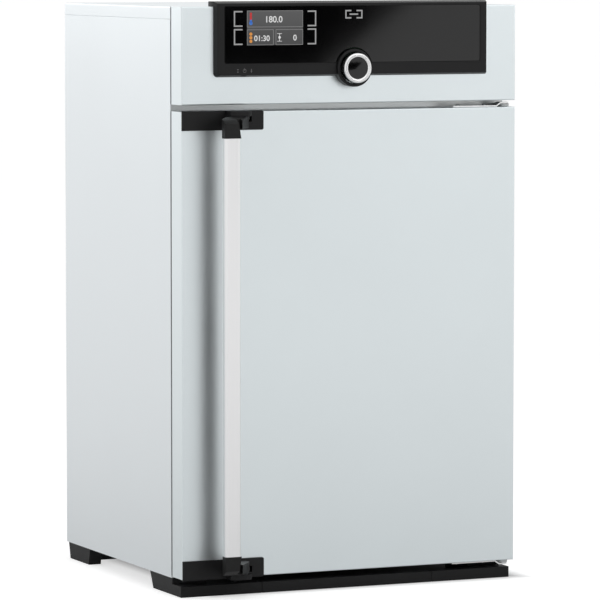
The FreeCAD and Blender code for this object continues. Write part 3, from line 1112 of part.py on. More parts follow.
# Encoder: body on the board, a plunger that slides, and a shaft that turns with the knob
encoder = new_body("encoder_body")
ENCODER_FRONT = f"({FRONT} + casing_sheet + fit_gap)"
pad(encoder, "y", ENCODER_FRONT, BOARD_FRONT,
    rect("-encoder_size / 2", "encoder_size / 2", f"{KNOB_Z} - encoder_size / 2",
         f"{KNOB_Z} + encoder_size / 2"))
cut(encoder, "y", ENCODER_FRONT, BOARD_FRONT, disc("0", KNOB_Z, "plunger_radius + running_gap"))
plunger = new_body("encoder_plunger")
PLUNGER_FRONT = f"({FRONT} - encoder_size / 3)"
pad(plunger, "y", PLUNGER_FRONT, f"{BOARD_FRONT} - knob_travel - fit_gap",
    disc("0", KNOB_Z, "plunger_radius"))
cut(plunger, "y", PLUNGER_FRONT, f"{BOARD_FRONT} - knob_travel - fit_gap - plunger_floor",
    disc("0", KNOB_Z, "encoder_shaft_radius + running_gap"))
keep(encoder, plunger)
spindle = rod("encoder_shaft", "encoder_shaft_radius", "y", "0", f"{FRONT} - knob_reach / 2", KNOB_Z,
              f"{BOARD_FRONT} - knob_travel - 2 * fit_gap - plunger_floor - ({FRONT} - knob_reach / 2)")
spindle.Label = "encoder_shaft"

# Knob: moulded core, bright metal ring with a rounded rim, and a dark dished face
core = new_body("knob_core")
CORE_BACK = f"({PLUNGER_FRONT} - fit_gap)"
FACE_BACK = f"({KNOB_FRONT} + knob_ring_depth / 2)"
spin(core, "0", KNOB_Z,
     [(FACE_BACK, "0"), (FACE_BACK, "knob_face_radius"), (RING_BACK, "knob_face_radius"),
      (RING_BACK, "knob_radius - knob_ring_round"), (CORE_BACK, "knob_radius - knob_ring_round"),
      (CORE_BACK, "0")])
cut(core, "y", f"{FRONT} - knob_reach / 2", CORE_BACK, disc("0", KNOB_Z, "encoder_shaft_radius"))
ring = new_body("knob_ring")
spin(ring, "0", KNOB_Z,
     [(KNOB_FRONT, "knob_face_radius"), (RING_BACK, "knob_face_radius"), (RING_BACK, "knob_radius"),
      (KNOB_FRONT, "knob_radius")])
soften(ring, "knob_ring_round", y=[KNOB_FRONT])
cap = new_body("knob_face")
spin(cap, "0", KNOB_Z,
     [(f"{KNOB_FRONT} + knob_face_dish", "0"), (FACE_BACK, "0"), (FACE_BACK, "knob_face_radius"),
      (f"{KNOB_FRONT} + knob_ring_round", "knob_face_radius")])
keep(spindle, core, ring, cap)

# Power button: a small key in the underside of the bezel
button = new_body("power_button")
pad(button, "z", POWER_BUTTON_LOW, f"{POWER_BUTTON_LOW} + power_button_height - power_button_travel - fit_gap",
    rect("power_button_x - power_button_width / 2", "power_button_x + power_button_width / 2",
         f"{MID_BEZEL} - power_button_depth / 2", f"{MID_BEZEL} + power_button_depth / 2"))
soften(button, "glass_groove", z=[POWER_BUTTON_LOW])
keep(button)


def shelf(name, rib):
    """A welded wire grid: a round-cornered rim, bars from front to back and two bars beneath."""
    grid = new_body(name)
    level = f"({CHAMBER_LOW} + {rib} * {RIB_PITCH} + rib_height / 2 + fit_gap + shelf_wire / 2)"
    side = f"({CHAMBER_HALF} - shelf_side_gap - shelf_wire / 2)"
    far = f"({CHAMBER_BACK} - shelf_back_gap - shelf_wire / 2)"
    near = f"({DOOR_BACK} + plinth_height + shelf_travel + shelf_front_gap + shelf_wire / 2)"
    half = "shelf_wire / 2"
    pad(grid, "z", f"{level} - {half}", f"{level} + {half}",
        rect(f"-{side} - {half}", f"{side} + {half}", f"{near} - {half}", f"{far} + {half}"),
        rect(f"-{side} + {half}", f"{side} - {half}", f"{near} + {half}", f"{far} - {half}"))
    soften(grid, "shelf_corner", x=[f"-{side} - {half}", f"{side} + {half}"],
           y=[f"{near} - {half}", f"{far} + {half}"])
    soften(grid, "shelf_corner - shelf_wire", x=[f"-{side} + {half}", f"{side} - {half}"],
           y=[f"{near} + {half}", f"{far} - {half}"])
    soften(grid, "shelf_wire_round", z=[f"{level} - {half}", f"{level} + {half}"])
    bar = pad(grid, "y", near, far, disc(f"-{side} + shelf_pitch", f"{level} + {half} - shelf_bar_sink",
                                         "shelf_bar / 2"))
    bars = grid.newObject("PartDesign::LinearPattern", "Bars")
    bars.Originals = [bar]
    bars.Direction = (bar.Profile[0], ["H_Axis"])
    count = f"floor((2 * {side} - 2 * shelf_pitch) / shelf_pitch)"
    bind(bars, "Length", f"shelf_pitch * {count}")
    bind(bars, "Occurrences", f"{count} + 1")
    grid.Tip = bars
    pad(grid, "x", f"-{side}", side,
        disc(f"{near} + ({far} - ({near})) / 3", f"{level} + {half} - shelf_cross_drop", "shelf_bar / 2"),
        disc(f"{near} + ({far} - ({near})) * 2 / 3", f"{level} + {half} - shelf_cross_drop", "shelf_bar / 2"))
    return grid


keep(shelf("shelf_lower", "lower_shelf_rib_count"), shelf("shelf_upper", "upper_shelf_rib_count"))

doc.recompute()

# Nothing is written unless every object computed and every sub-part is a valid shape
for thing in doc.Objects:
    if "Invalid" in thing.State or "Error" in thing.State:
        raise RuntimeError(f"{thing.Label} failed: {thing.State}")
for piece in pieces:
    if piece.Shape.isNull() or not piece.Shape.isValid() or not piece.Shape.Solids:
        raise RuntimeError(f"{piece.Label} has no valid solid")

os.makedirs("parts", exist_ok=True)
for piece in pieces:
    piece.Shape.exportStep(f"parts/{piece.Label}.step")
print(len(pieces), "sub-parts written")
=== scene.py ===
import json
import math

import bmesh
import bpy
from mathutils import Matrix, Vector


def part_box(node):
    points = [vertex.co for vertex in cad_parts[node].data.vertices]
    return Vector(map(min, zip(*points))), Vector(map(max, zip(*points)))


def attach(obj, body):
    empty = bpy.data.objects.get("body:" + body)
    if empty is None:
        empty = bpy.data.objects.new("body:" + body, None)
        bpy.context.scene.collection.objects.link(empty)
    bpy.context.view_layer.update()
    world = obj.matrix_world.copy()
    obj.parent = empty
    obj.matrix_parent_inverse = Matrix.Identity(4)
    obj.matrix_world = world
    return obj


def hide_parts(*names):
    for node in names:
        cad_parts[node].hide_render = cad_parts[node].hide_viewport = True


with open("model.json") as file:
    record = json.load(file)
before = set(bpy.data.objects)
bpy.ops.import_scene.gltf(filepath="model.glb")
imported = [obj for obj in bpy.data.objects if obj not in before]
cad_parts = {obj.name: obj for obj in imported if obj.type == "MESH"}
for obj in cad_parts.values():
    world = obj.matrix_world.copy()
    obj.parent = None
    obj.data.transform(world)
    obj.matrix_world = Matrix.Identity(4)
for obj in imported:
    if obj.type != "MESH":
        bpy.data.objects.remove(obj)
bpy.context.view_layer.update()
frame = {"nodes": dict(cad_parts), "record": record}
nodes = frame["nodes"]

# The view: a long lens from the left front, a little above the top of the oven. Place, turn
# and focal length are fitted to the casing's edges in the photograph.
PHOTO_WIDTH_PX = 600
FOCAL_PX = 4387.1
SENSOR_MM = 36.0
CAMERA_PLACE = (-2.8996, -6.6143, 1.0382)
CAMERA_AZIMUTH = math.radians(-23.794)
CAMERA_ELEVATION = math.radians(4.6745)
lens = bpy.data.cameras.new("photo_camera")
lens.sensor_width = SENSOR_MM
lens.lens = FOCAL_PX / PHOTO_WIDTH_PX * SENSOR_MM
lens.clip_end = 300
camera = bpy.data.objects.new("photo_camera", lens)
bpy.context.scene.collection.objects.link(camera)
away = Vector((math.sin(CAMERA_AZIMUTH) * math.cos(CAMERA_ELEVATION),
               -math.cos(CAMERA_AZIMUTH) * math.cos(CAMERA_ELEVATION), math.sin(CAMERA_ELEVATION)))
camera.location = CAMERA_PLACE
camera.rotation_mode = "QUATERNION"
camera.rotation_quaternion = (-away).to_track_quat("-Z", "Y")
bpy.context.scene.camera = camera
bpy.context.scene.view_settings.view_transform = "Standard"

# The studio: a surround that is white to the camera and in the metal and dimmer as light, with
# soft lamps behind on the left, at the right front and above.
SURROUND_LIGHT = 0.45
LAMPS = {
    "lamp_back_left": {"place": (-1.5, 2.2, 1.75), "size": 1.5, "watts": 9, "aim": (-0.29, 0, 0.8)},
    "lamp_right_front": {"place": (1.9, -3.6, 2.2), "size": 1.4, "watts": 11, "aim": (0, -0.2, 0.6)},
    "lamp_above": {"place": (-0.4, -1.2, 3.2), "size": 2.4, "watts": 8, "aim": (0, 0, 0.4)},
}
world = bpy.data.worlds.new("studio")
bpy.context.scene.world = world
world.use_nodes = True
tree = world.node_tree
background = tree.nodes["Background"]
background.inputs["Color"].default_value = (1, 1, 1, 1)
rays = tree.nodes.new("ShaderNodeLightPath")
seen = tree.nodes.new("ShaderNodeMath")
seen.operation = "MAXIMUM"
shown = tree.nodes.new("ShaderNodeMath")
shown.operation = "MAXIMUM"
level = tree.nodes.new("ShaderNodeMapRange")
level.inputs["To Min"].default_value = SURROUND_LIGHT
level.inputs["To Max"].default_value = 1.0
tree.links.new(rays.outputs["Is Camera Ray"], seen.inputs[0])
tree.links.new(rays.outputs["Is Glossy Ray"], seen.inputs[1])
tree.links.new(seen.outputs[0], shown.inputs[0])
tree.links.new(rays.outputs["Is Transmission Ray"], shown.inputs[1])
tree.links.new(shown.outputs[0], level.inputs["Value"])
tree.links.new(level.outputs["Result"], background.inputs["Strength"])
for lamp_name, lamp in LAMPS.items():
    light = bpy.data.lights.new(lamp_name, "AREA")
    light.size = lamp["size"]
    light.energy = lamp["watts"]
    stand = bpy.data.objects.new(lamp_name, light)
    stand.location = lamp["place"]
    stand.rotation_mode = "QUATERNION"
    stand.rotation_quaternion = (Vector(lamp["aim"]) - Vector(lamp["place"])).to_track_quat("-Z", "Y")
    stand.visible_camera = False
    bpy.context.scene.collection.objects.link(stand)

# The floor: plain white paper, lifted to the white of the surround where the camera sees it, but
# not under the oven, where no light reaches; there its colour is painted dark, a painted shadow.
# In the metal its glow is mirrored dimmer close to the oven, a painted shade that gives the sheets their
# falling tone.
FLOOR_HALF = 80.0
FLOOR_TONE = 0.80
FLOOR_LIFT = 0.62
FLOOR_DIM_SHARE = 0.35
FLOOR_DIM_FROM = 0.5
FLOOR_DIM_TO = 5.0
UNDER_MIDDLE = (0.04, 0.0)
UNDER_HALF = (0.29, 0.25)
UNDER_FADE = 0.06
# painted shadow: the floor's colour under the oven
UNDER_SHADOW_TONE = 0.08
floor_mesh = bpy.data.meshes.new("studio_floor")
bm = bmesh.new()
bmesh.ops.create_grid(bm, x_segments=1, y_segments=1, size=FLOOR_HALF)
bm.to_mesh(floor_mesh)
bm.free()
floor = bpy.data.objects.new("studio_floor", floor_mesh)
bpy.context.scene.collection.objects.link(floor)
floor_paint = bpy.data.materials.new("studio_floor")
floor_paint.use_nodes = True
tree = floor_paint.node_tree
shader = tree.nodes["Principled BSDF"]
shader.inputs["Roughness"].default_value = 0.9
shader.inputs["Specular IOR Level"].default_value = 0.1
shader.inputs["Emission Color"].default_value = (1, 1, 1, 1)
rays = tree.nodes.new("ShaderNodeLightPath")
spot = tree.nodes.new("ShaderNodeTexCoord")
reach = tree.nodes.new("ShaderNodeVectorMath")
reach.operation = "LENGTH"
tree.links.new(spot.outputs["Object"], reach.inputs[0])
# painted shade: the floor's glow, as the metal mirrors it, is dimmer close to the oven
painted_near_shade = tree.nodes.new("ShaderNodeMapRange")
painted_near_shade.inputs["From Min"].default_value = FLOOR_DIM_FROM
painted_near_shade.inputs["From Max"].default_value = FLOOR_DIM_TO
painted_near_shade.inputs["To Min"].default_value = FLOOR_DIM_SHARE
tree.links.new(reach.outputs["Value"], painted_near_shade.inputs["Value"])
mirrored = tree.nodes.new("ShaderNodeMath")
mirrored.operation = "MULTIPLY"
tree.links.new(rays.outputs["Is Glossy Ray"], mirrored.inputs[0])
tree.links.new(painted_near_shade.outputs["Result"], mirrored.inputs[1])
either = tree.nodes.new("ShaderNodeMath")
either.operation = "MAXIMUM"
tree.links.new(rays.outputs["Is Camera Ray"], either.inputs[0])
tree.links.new(mirrored.outputs[0], either.inputs[1])
parts = tree.nodes.new("ShaderNodeSeparateXYZ")
tree.links.new(spot.outputs["Object"], parts.inputs[0])
outside = tree.nodes.new("ShaderNodeMath")
outside.operation = "MAXIMUM"
for axis, (middle, half) in enumerate(zip(UNDER_MIDDLE, UNDER_HALF)):
    centred = tree.nodes.new("ShaderNodeMath")
    centred.operation = "SUBTRACT"
    centred.inputs[1].default_value = middle
    tree.links.new(parts.outputs[axis], centred.inputs[0])
    apart = tree.nodes.new("ShaderNodeMath")
    apart.operation = "ABSOLUTE"
    tree.links.new(centred.outputs[0], apart.inputs[0])
    edge = tree.nodes.new("ShaderNodeMapRange")
    edge.inputs["From Min"].default_value = half - UNDER_FADE
    edge.inputs["From Max"].default_value = half
    tree.links.new(apart.outputs[0], edge.inputs["Value"])
    tree.links.new(edge.outputs["Result"], outside.inputs[axis])
# painted shadow: the floor's colour is dark under the oven and pale outside it
paper_and_painted_shadow = tree.nodes.new("ShaderNodeMixRGB")
paper_and_painted_shadow.inputs["Color1"].default_value = (UNDER_SHADOW_TONE, UNDER_SHADOW_TONE, UNDER_SHADOW_TONE, 1)
paper_and_painted_shadow.inputs["Color2"].default_value = (FLOOR_TONE, FLOOR_TONE, FLOOR_TONE, 1)
tree.links.new(outside.outputs[0], paper_and_painted_shadow.inputs["Fac"])
tree.links.new(paper_and_painted_shadow.outputs["Color"], shader.inputs["Base Color"])
reached = tree.nodes.new("ShaderNodeMath")
reached.operation = "MULTIPLY"
tree.links.new(either.outputs[0], reached.inputs[0])
tree.links.new(outside.outputs[0], reached.inputs[1])
lift = tree.nodes.new("ShaderNodeMath")
lift.operation = "MULTIPLY"
lift.inputs[1].default_value = FLOOR_LIFT
tree.links.new(reached.outputs[0], lift.inputs[0])
tree.links.new(lift.outputs[0], shader.inputs["Emission Strength"])
floor_mesh.materials.append(floor_paint)

# The flag: a small dark card beside the camera, seen only as a mirror image, which gives the
# control glass a black stretch with slanting ends.
FLAG_LEFT = 0.80
FLAG_RIGHT = 1.575
FLAG_LOW = 0.68
FLAG_HIGH = 0.97
FLAG_PLANE = -3.6
FLAG_SLANT = 1.30
along_y = Matrix.Rotation(math.pi / 2, 4, "X")
flag_mesh = bpy.data.meshes.new("studio_flag")
bm = bmesh.new()
bmesh.ops.create_grid(bm, x_segments=1, y_segments=1, size=0.5, matrix=along_y)
bmesh.ops.scale(bm, verts=bm.verts, vec=(FLAG_RIGHT - FLAG_LEFT, 1, FLAG_HIGH - FLAG_LOW))
for corner in bm.verts:
    corner.co.x += FLAG_SLANT * corner.co.z
bmesh.ops.translate(bm, verts=bm.verts,
                    vec=((FLAG_LEFT + FLAG_RIGHT) / 2, FLAG_PLANE, (FLAG_LOW + FLAG_HIGH) / 2))
bm.to_mesh(flag_mesh)
bm.free()
flag = bpy.data.objects.new("studio_flag", flag_mesh)
bpy.context.scene.collection.objects.link(flag)
flag_cloth = bpy.data.materials.new("studio_flag")
flag_cloth.use_nodes = True
shader = flag_cloth.node_tree.nodes["Principled BSDF"]
shader.inputs["Base Color"].default_value = (0, 0, 0, 1)
shader.inputs["Roughness"].default_value = 1.0
shader.inputs["Specular IOR Level"].default_value = 0.0
flag_mesh.materials.append(flag_cloth)
flag.visible_camera = False
flag.visible_diffuse = False
flag.visible_shadow = False

# Casing sheets: the side panels and top cover are folded stainless steel with a finely ground
# surface, seamed along the top and flanged at the back for the rear panel's screws.
SIDE_STEEL = (0.735, 0.770, 0.788, 1)
SHEET_EDGE = 0.0004


def sheet_grain_group():
    """Fine rolled grain, with slow changes of tone, as one shader group."""
    group = bpy.data.node_groups.new("sheet_grain", "ShaderNodeTree")
    starts = {"Fineness": 900.0, "Stretch": 1.0, "Tone Change": 0.05, "Base Roughness": 0.4,
              "Roughness Change": 0.08}
    for socket, start in starts.items():
        made = group.interface.new_socket(socket, in_out="INPUT", socket_type="NodeSocketFloat")
        made.default_value = start
    group.interface.new_socket("Tint", in_out="INPUT", socket_type="NodeSocketColor")
    group.interface.new_socket("Colour", in_out="OUTPUT", socket_type="NodeSocketColor")
    group.interface.new_socket("Roughness", in_out="OUTPUT", socket_type="NodeSocketFloat")
    group.interface.new_socket("Height", in_out="OUTPUT", socket_type="NodeSocketFloat")
    enter = group.nodes.new("NodeGroupInput")
    leave = group.nodes.new("NodeGroupOutput")
    place = group.nodes.new("ShaderNodeTexCoord")
    along = group.nodes.new("ShaderNodeCombineXYZ")
    along.inputs["X"].default_value = 1.0
    along.inputs["Y"].default_value = 1.0
    group.links.new(enter.outputs["Stretch"], along.inputs["Z"])
    stretched = group.nodes.new("ShaderNodeVectorMath")
    stretched.operation = "MULTIPLY"
    group.links.new(place.outputs["Object"], stretched.inputs[0])
    group.links.new(along.outputs[0], stretched.inputs[1])
    fine = group.nodes.new("ShaderNodeTexNoise")
    fine.inputs["Detail"].default_value = 2.0
    group.links.new(stretched.outputs[0], fine.inputs["Vector"])
    group.links.new(enter.outputs["Fineness"], fine.inputs["Scale"])
    slow = group.nodes.new("ShaderNodeTexNoise")
    slow.inputs["Scale"].default_value = 5.0
    slow.inputs["Detail"].default_value = 4.0
    group.links.new(place.outputs["Object"], slow.inputs["Vector"])
    both = group.nodes.new("ShaderNodeMath")
    both.operation = "ADD"
    group.links.new(fine.outputs["Fac"], both.inputs[0])
    group.links.new(slow.outputs["Fac"], both.inputs[1])
    centred = group.nodes.new("ShaderNodeMath")
    centred.operation = "SUBTRACT"
    centred.inputs[1].default_value = 1.0
    group.links.new(both.outputs[0], centred.inputs[0])
    change = group.nodes.new("ShaderNodeMath")
    change.operation = "MULTIPLY_ADD"
    change.inputs[2].default_value = 1.0
    group.links.new(centred.outputs[0], change.inputs[0])
    group.links.new(enter.outputs["Tone Change"], change.inputs[1])
    tinted = group.nodes.new("ShaderNodeVectorMath")
    tinted.operation = "SCALE"
    group.links.new(enter.outputs["Tint"], tinted.inputs[0])
    group.links.new(change.outputs[0], tinted.inputs["Scale"])
    group.links.new(tinted.outputs[0], leave.inputs["Colour"])
    rough = group.nodes.new("ShaderNodeMath")
    rough.operation = "MULTIPLY_ADD"
    group.links.new(centred.outputs[0], rough.inputs[0])
    group.links.new(enter.outputs["Roughness Change"], rough.inputs[1])
    group.links.new(enter.outputs["Base Roughness"], rough.inputs[2])
    group.links.new(rough.outputs[0], leave.inputs["Roughness"])
    group.links.new(fine.outputs["Fac"], leave.inputs["Height"])
    return group


sheet_grain = sheet_grain_group()
body_of = {name: body for body, members in frame["record"]["behaviour"]["bodies"].items() for name in members}


def steel_sheet(name, tint, roughness, fineness, stretch=1.0, relief=0.00004, tone_change=0.05):
    """A metal finish: tint and shine, with the sheet grain over it."""
    finish = bpy.data.materials.new(name)
    finish.use_nodes = True
    tree = finish.node_tree
    shader = tree.nodes["Principled BSDF"]
    shader.inputs["Metallic"].default_value = 1.0
    grain = tree.nodes.new("ShaderNodeGroup")
    grain.node_tree = sheet_grain
    grain.inputs["Fineness"].default_value = fineness
    grain.inputs["Stretch"].default_value = stretch
    grain.inputs["Tone Change"].default_value = tone_change
    grain.inputs["Base Roughness"].default_value = roughness
    grain.inputs["Tint"].default_value = tint
    bump = tree.nodes.new("ShaderNodeBump")
    bump.inputs["Distance"].default_value = relief
    tree.links.new(grain.outputs["Colour"], shader.inputs["Base Color"])
    tree.links.new(grain.outputs["Roughness"], shader.inputs["Roughness"])
    tree.links.new(grain.outputs["Height"], bump.inputs["Height"])
    tree.links.new(bump.outputs["Normal"], shader.inputs["Normal"])
    return finish


def softened(name, radius, finish, angle=35, steps=2):
    """A merged, smooth copy of a CAD node with rounded edges, which stands for that node."""
    mesh = bpy.data.meshes.new(f"{name}_soft")
    bm = bmesh.new()
    bm.from_mesh(nodes[name].data)
    bmesh.ops.remove_doubles(bm, verts=bm.verts, dist=0.00002)
    bmesh.ops.dissolve_limit(bm, angle_limit=math.radians(1.0), verts=bm.verts, edges=bm.edges)
    for face in bm.faces:
        face.smooth = True
    bm.to_mesh(mesh)
    bm.free()
    piece = bpy.data.objects.new(f"{name}_soft", mesh)
    bpy.context.scene.collection.objects.link(piece)
    if radius:
        rounding = piece.modifiers.new("edges", "BEVEL")
        rounding.width = radius
        rounding.segments = steps
        rounding.limit_method = "ANGLE"
        rounding.angle_limit = math.radians(angle)
    shading = piece.modifiers.new("shading", "WEIGHTED_NORMAL")
    shading.mode = "FACE_AREA"
    shading.weight = 100
    mesh.materials.append(finish)
    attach(piece, body_of[name])
    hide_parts(name)
    return piece


side_steel = steel_sheet("ground_steel", SIDE_STEEL, roughness=0.40, fineness=700, relief=0.00002,
                         tone_change=0.03)
for sheet in ("side_panel_left", "side_panel_right", "top_cover"):
    softened(sheet, SHEET_EDGE, side_steel)

# Zinc-coated sheets: the rear panel, cut with louvres over the fresh air duct, the base pan, the
# tray of the wool jacket and the case of the power unit, folded and dull with a mottled tone.
REAR_ZINC = (0.50, 0.52, 0.53, 1)
zinc_sheet = steel_sheet("zinc_sheet", REAR_ZINC, roughness=0.45, fineness=120, tone_change=0.22)
for sheet in ("rear_panel", "base_pan", "jacket_tray", "power_unit"):
    softened(sheet, SHEET_EDGE, zinc_sheet)

# Rear panel screws: ten pan-head screws of bright steel with a cross recess, five down each
# side, which hold the rear panel to the flanges of the side panels.
SCREW_STEEL = (0.60, 0.60, 0.60, 1)
SCREW_HEAD_RADIUS = 0.004
SCREW_HEAD_HEIGHT = 0.002
SCREW_CROWN = 0.0009
SCREW_STEM_RADIUS = 0.0019
SCREW_ROWS = 5
SCREW_RECESS = 0.0012
CROSS_LONG = 0.0042
CROSS_WIDE = 0.0009
SAME_PLACE = 0.000001
screw_steel = steel_sheet("screw_steel", SCREW_STEEL, roughness=0.25, fineness=1500, relief=0.00001)
screw_low, screw_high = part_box("rear_panel_screws")
screw_step = (screw_high.z - screw_low.z - 2 * SCREW_HEAD_RADIUS) / (SCREW_ROWS - 1)
screw_places = [Vector((side * (screw_high.x - SCREW_HEAD_RADIUS), screw_high.y,
                        screw_low.z + SCREW_HEAD_RADIUS + row * screw_step))
                for side in (-1, 1) for row in range(SCREW_ROWS)]


def screw_crosses(bm):
    """Two crossed bars on each screw's head, which a difference takes away."""
    for centre in screw_places:
        for length, width in ((CROSS_LONG, CROSS_WIDE), (CROSS_WIDE, CROSS_LONG)):
            size = Matrix.Diagonal((length, width, 2 * SCREW_RECESS, 1))
            bmesh.ops.create_cube(bm, size=1.0, matrix=Matrix.Translation(centre) @ along_y @ size)


def cut_away(piece, name, build):
    """Take a second shape away from a piece and keep the result as its mesh."""
    tool_mesh = bpy.data.meshes.new(name)
    bm = bmesh.new()
    build(bm)
    bm.to_mesh(tool_mesh)
    bm.free()
    tool = bpy.data.objects.new(name, tool_mesh)
    bpy.context.scene.collection.objects.link(tool)
    step = piece.modifiers.new(name, "BOOLEAN")
    step.object = tool
    step.operation = "DIFFERENCE"
    step.solver = "EXACT"
    step.use_self = True
    bpy.context.view_layer.update()
    whole = bpy.data.meshes.new_from_object(piece.evaluated_get(bpy.context.evaluated_depsgraph_get()))
    piece.modifiers.remove(step)
    piece.data = whole
    bpy.data.objects.remove(tool)


stem_length = screw_high.y - SCREW_HEAD_HEIGHT - screw_low.y
head_depth = Vector((0, SCREW_HEAD_HEIGHT / 2, 0))
stem_depth = Vector((0, SCREW_HEAD_HEIGHT + stem_length / 2, 0))
mesh = bpy.data.meshes.new("rear_screws")
bm = bmesh.new()
for spot in screw_places:
    head = bmesh.ops.create_cone(bm, cap_ends=True, segments=24, radius1=SCREW_HEAD_RADIUS,
                                 radius2=SCREW_HEAD_RADIUS, depth=SCREW_HEAD_HEIGHT,
                                 matrix=Matrix.Translation(spot - head_depth) @ along_y)
    outer = [edge for edge in bm.edges if all(v in head["verts"] for v in edge.verts)
             and all(abs(v.co.y - spot.y) < SAME_PLACE for v in edge.verts)]
    bmesh.ops.bevel(bm, geom=outer, offset=SCREW_CROWN, offset_type="OFFSET", segments=3, profile=0.5,
                    affect="EDGES", material=-1)
    bmesh.ops.create_cone(bm, cap_ends=True, segments=12, radius1=SCREW_STEM_RADIUS,
                          radius2=SCREW_STEM_RADIUS, depth=stem_length,
                          matrix=Matrix.Translation(spot - stem_depth) @ along_y)
bm.to_mesh(mesh)
bm.free()
mesh.materials.append(screw_steel)
rear_screws = bpy.data.objects.new("rear_screws", mesh)
bpy.context.scene.collection.objects.link(rear_screws)
cut_away(rear_screws, "rear_screw_crosses", screw_crosses)
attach(rear_screws, "cabinet")
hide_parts("rear_panel_screws")

# Front sheets: the door tray and the control fascia are stainless steel pressed with a fine
# linen texture, a shade cooler than the sides, folded over rounded edges at the front.
FRONT_STEEL = (0.715, 0.768, 0.785, 1)
front_steel = steel_sheet("linen_steel", FRONT_STEEL, roughness=0.33, fineness=1500, relief=0.00006,
                          tone_change=0.04)
for sheet in ("door_outer_panel", "control_fascia"):
    softened(sheet, SHEET_EDGE, front_steel)

# Front frame, strikes and door lining: plain stainless steel that shows in the gaps around
# the door; the lining's raised plinth fills the chamber mouth.
FRAME_STEEL = (0.55, 0.56, 0.56, 1)
frame_steel = steel_sheet("frame_steel", FRAME_STEEL, roughness=0.32, fineness=1200, relief=0.00003)
for sheet in ("front_frame", "latch_strikes", "door_inner_panel"):
    softened(sheet, SHEET_EDGE, frame_steel)

# Chamber and air way: satin stainless steel, deep-drawn, with ribs pressed into the side walls
# for the shelves; the ducts, the stub and the disc of the air flap are of the same steel.
CHAMBER_STEEL = (0.58, 0.58, 0.57, 1)
RIB_EDGE = 0.0016
chamber_steel = steel_sheet("drawn_steel", CHAMBER_STEEL, roughness=0.30, fineness=420, stretch=0.15,
                            relief=0.00003)
softened("chamber", RIB_EDGE, chamber_steel, angle=20, steps=3)
for tube in ("exhaust_duct", "exhaust_stub", "fresh_air_duct", "flap_disc"):
    softened(tube, SHEET_EDGE, chamber_steel)

# Shelves and probes: grids of electropolished round wire that lie on the chamber's ribs, and two
# slim probes through the back wall, as bright and smooth as the wire.
WIRE_STEEL = (0.66, 0.66, 0.66, 1)
PROBE_EDGE = 0.0006
wire_steel = steel_sheet("polished_wire", WIRE_STEEL, roughness=0.16, fineness=300, relief=0.00001)
for shelf in ("shelf_lower", "shelf_upper"):
    softened(shelf, radius=0, finish=wire_steel)
softened("temperature_probes", PROBE_EDGE, wire_steel)

# Hinge straps: cranked strips of bright steel on the top and bottom ends of the door, each held
# with two screws.
STRAP_STEEL = (0.72, 0.72, 0.72, 1)
STRAP_EDGE = 0.0005
STRAP_SCREW_EDGE = 0.0003
strap_steel = steel_sheet("strap_steel", STRAP_STEEL, roughness=0.2, fineness=500, relief=0.00001)
softened("hinge_straps", STRAP_EDGE, strap_steel)
softened("hinge_screws", STRAP_SCREW_EDGE, screw_steel)

# Machined steel: the pins of the hinges and the handle, the latch hooks, the air flap's shaft
# and the spindle and plunger of the knob, turned or milled from bar with fine tool marks.
MACHINED_STEEL = (0.48, 0.48, 0.49, 1)
MACHINED_EDGE = 0.0002
machined_steel = steel_sheet("machined_steel", MACHINED_STEEL, roughness=0.3, fineness=2000, stretch=0.1,
                             relief=0.00001)
for machined_part in ("hinge_pins", "handle_pins", "latch_hooks", "flap_shaft", "encoder_plunger",
                      "encoder_shaft"):
    softened(machined_part, MACHINED_EDGE, machined_steel)

# Feet, skirt and crossbar: black plastic, moulded with a spark-eroded grain, which carries the
# casing and covers the gap under its front.
FOOT_BLACK = (0.015, 0.015, 0.0155, 1)
FOOT_EDGE = 0.0008
CLOUD_GAIN = 1.25
CLOUD_RISE = 0.002
CLOUD_SHINE = 0.06


def moulded_grain_group():
    """A pebbled grain, with slow patches of tone and shine, as one shader group."""
    group = bpy.data.node_groups.new("moulded_grain", "ShaderNodeTree")
    for socket, start in {"Grain Scale": 1600.0, "Base Roughness": 0.45}.items():
        made = group.interface.new_socket(socket, in_out="INPUT", socket_type="NodeSocketFloat")
        made.default_value = start
    group.interface.new_socket("Tint", in_out="INPUT", socket_type="NodeSocketColor")
    group.interface.new_socket("Paler Tint", in_out="INPUT", socket_type="NodeSocketColor")
    group.interface.new_socket("Colour", in_out="OUTPUT", socket_type="NodeSocketColor")
    group.interface.new_socket("Roughness", in_out="OUTPUT", socket_type="NodeSocketFloat")
    group.interface.new_socket("Height", in_out="OUTPUT", socket_type="NodeSocketFloat")
    enter = group.nodes.new("NodeGroupInput")
    leave = group.nodes.new("NodeGroupOutput")
    place = group.nodes.new("ShaderNodeTexCoord")
    pebbles = group.nodes.new("ShaderNodeTexVoronoi")
    group.links.new(place.outputs["Object"], pebbles.inputs["Vector"])
    group.links.new(enter.outputs["Grain Scale"], pebbles.inputs["Scale"])
    clouds = group.nodes.new("ShaderNodeTexNoise")
    clouds.inputs["Scale"].default_value = 24.0
    group.links.new(place.outputs["Object"], clouds.inputs["Vector"])
    tone = group.nodes.new("ShaderNodeMixRGB")
    group.links.new(clouds.outputs["Fac"], tone.inputs["Fac"])
    group.links.new(enter.outputs["Tint"], tone.inputs["Color1"])
    group.links.new(enter.outputs["Paler Tint"], tone.inputs["Color2"])
    shine = group.nodes.new("ShaderNodeMapRange")
    group.links.new(clouds.outputs["Fac"], shine.inputs["Value"])
    for limit, step in (("To Min", -CLOUD_SHINE), ("To Max", CLOUD_SHINE)):
        moved = group.nodes.new("ShaderNodeMath")
        moved.operation = "ADD"
        moved.inputs[1].default_value = step
        group.links.new(enter.outputs["Base Roughness"], moved.inputs[0])
        group.links.new(moved.outputs[0], shine.inputs[limit])
    group.links.new(tone.outputs["Color"], leave.inputs["Colour"])
    group.links.new(shine.outputs["Result"], leave.inputs["Roughness"])
    group.links.new(pebbles.outputs["Distance"], leave.inputs["Height"])
    return group


moulded_grain = moulded_grain_group()


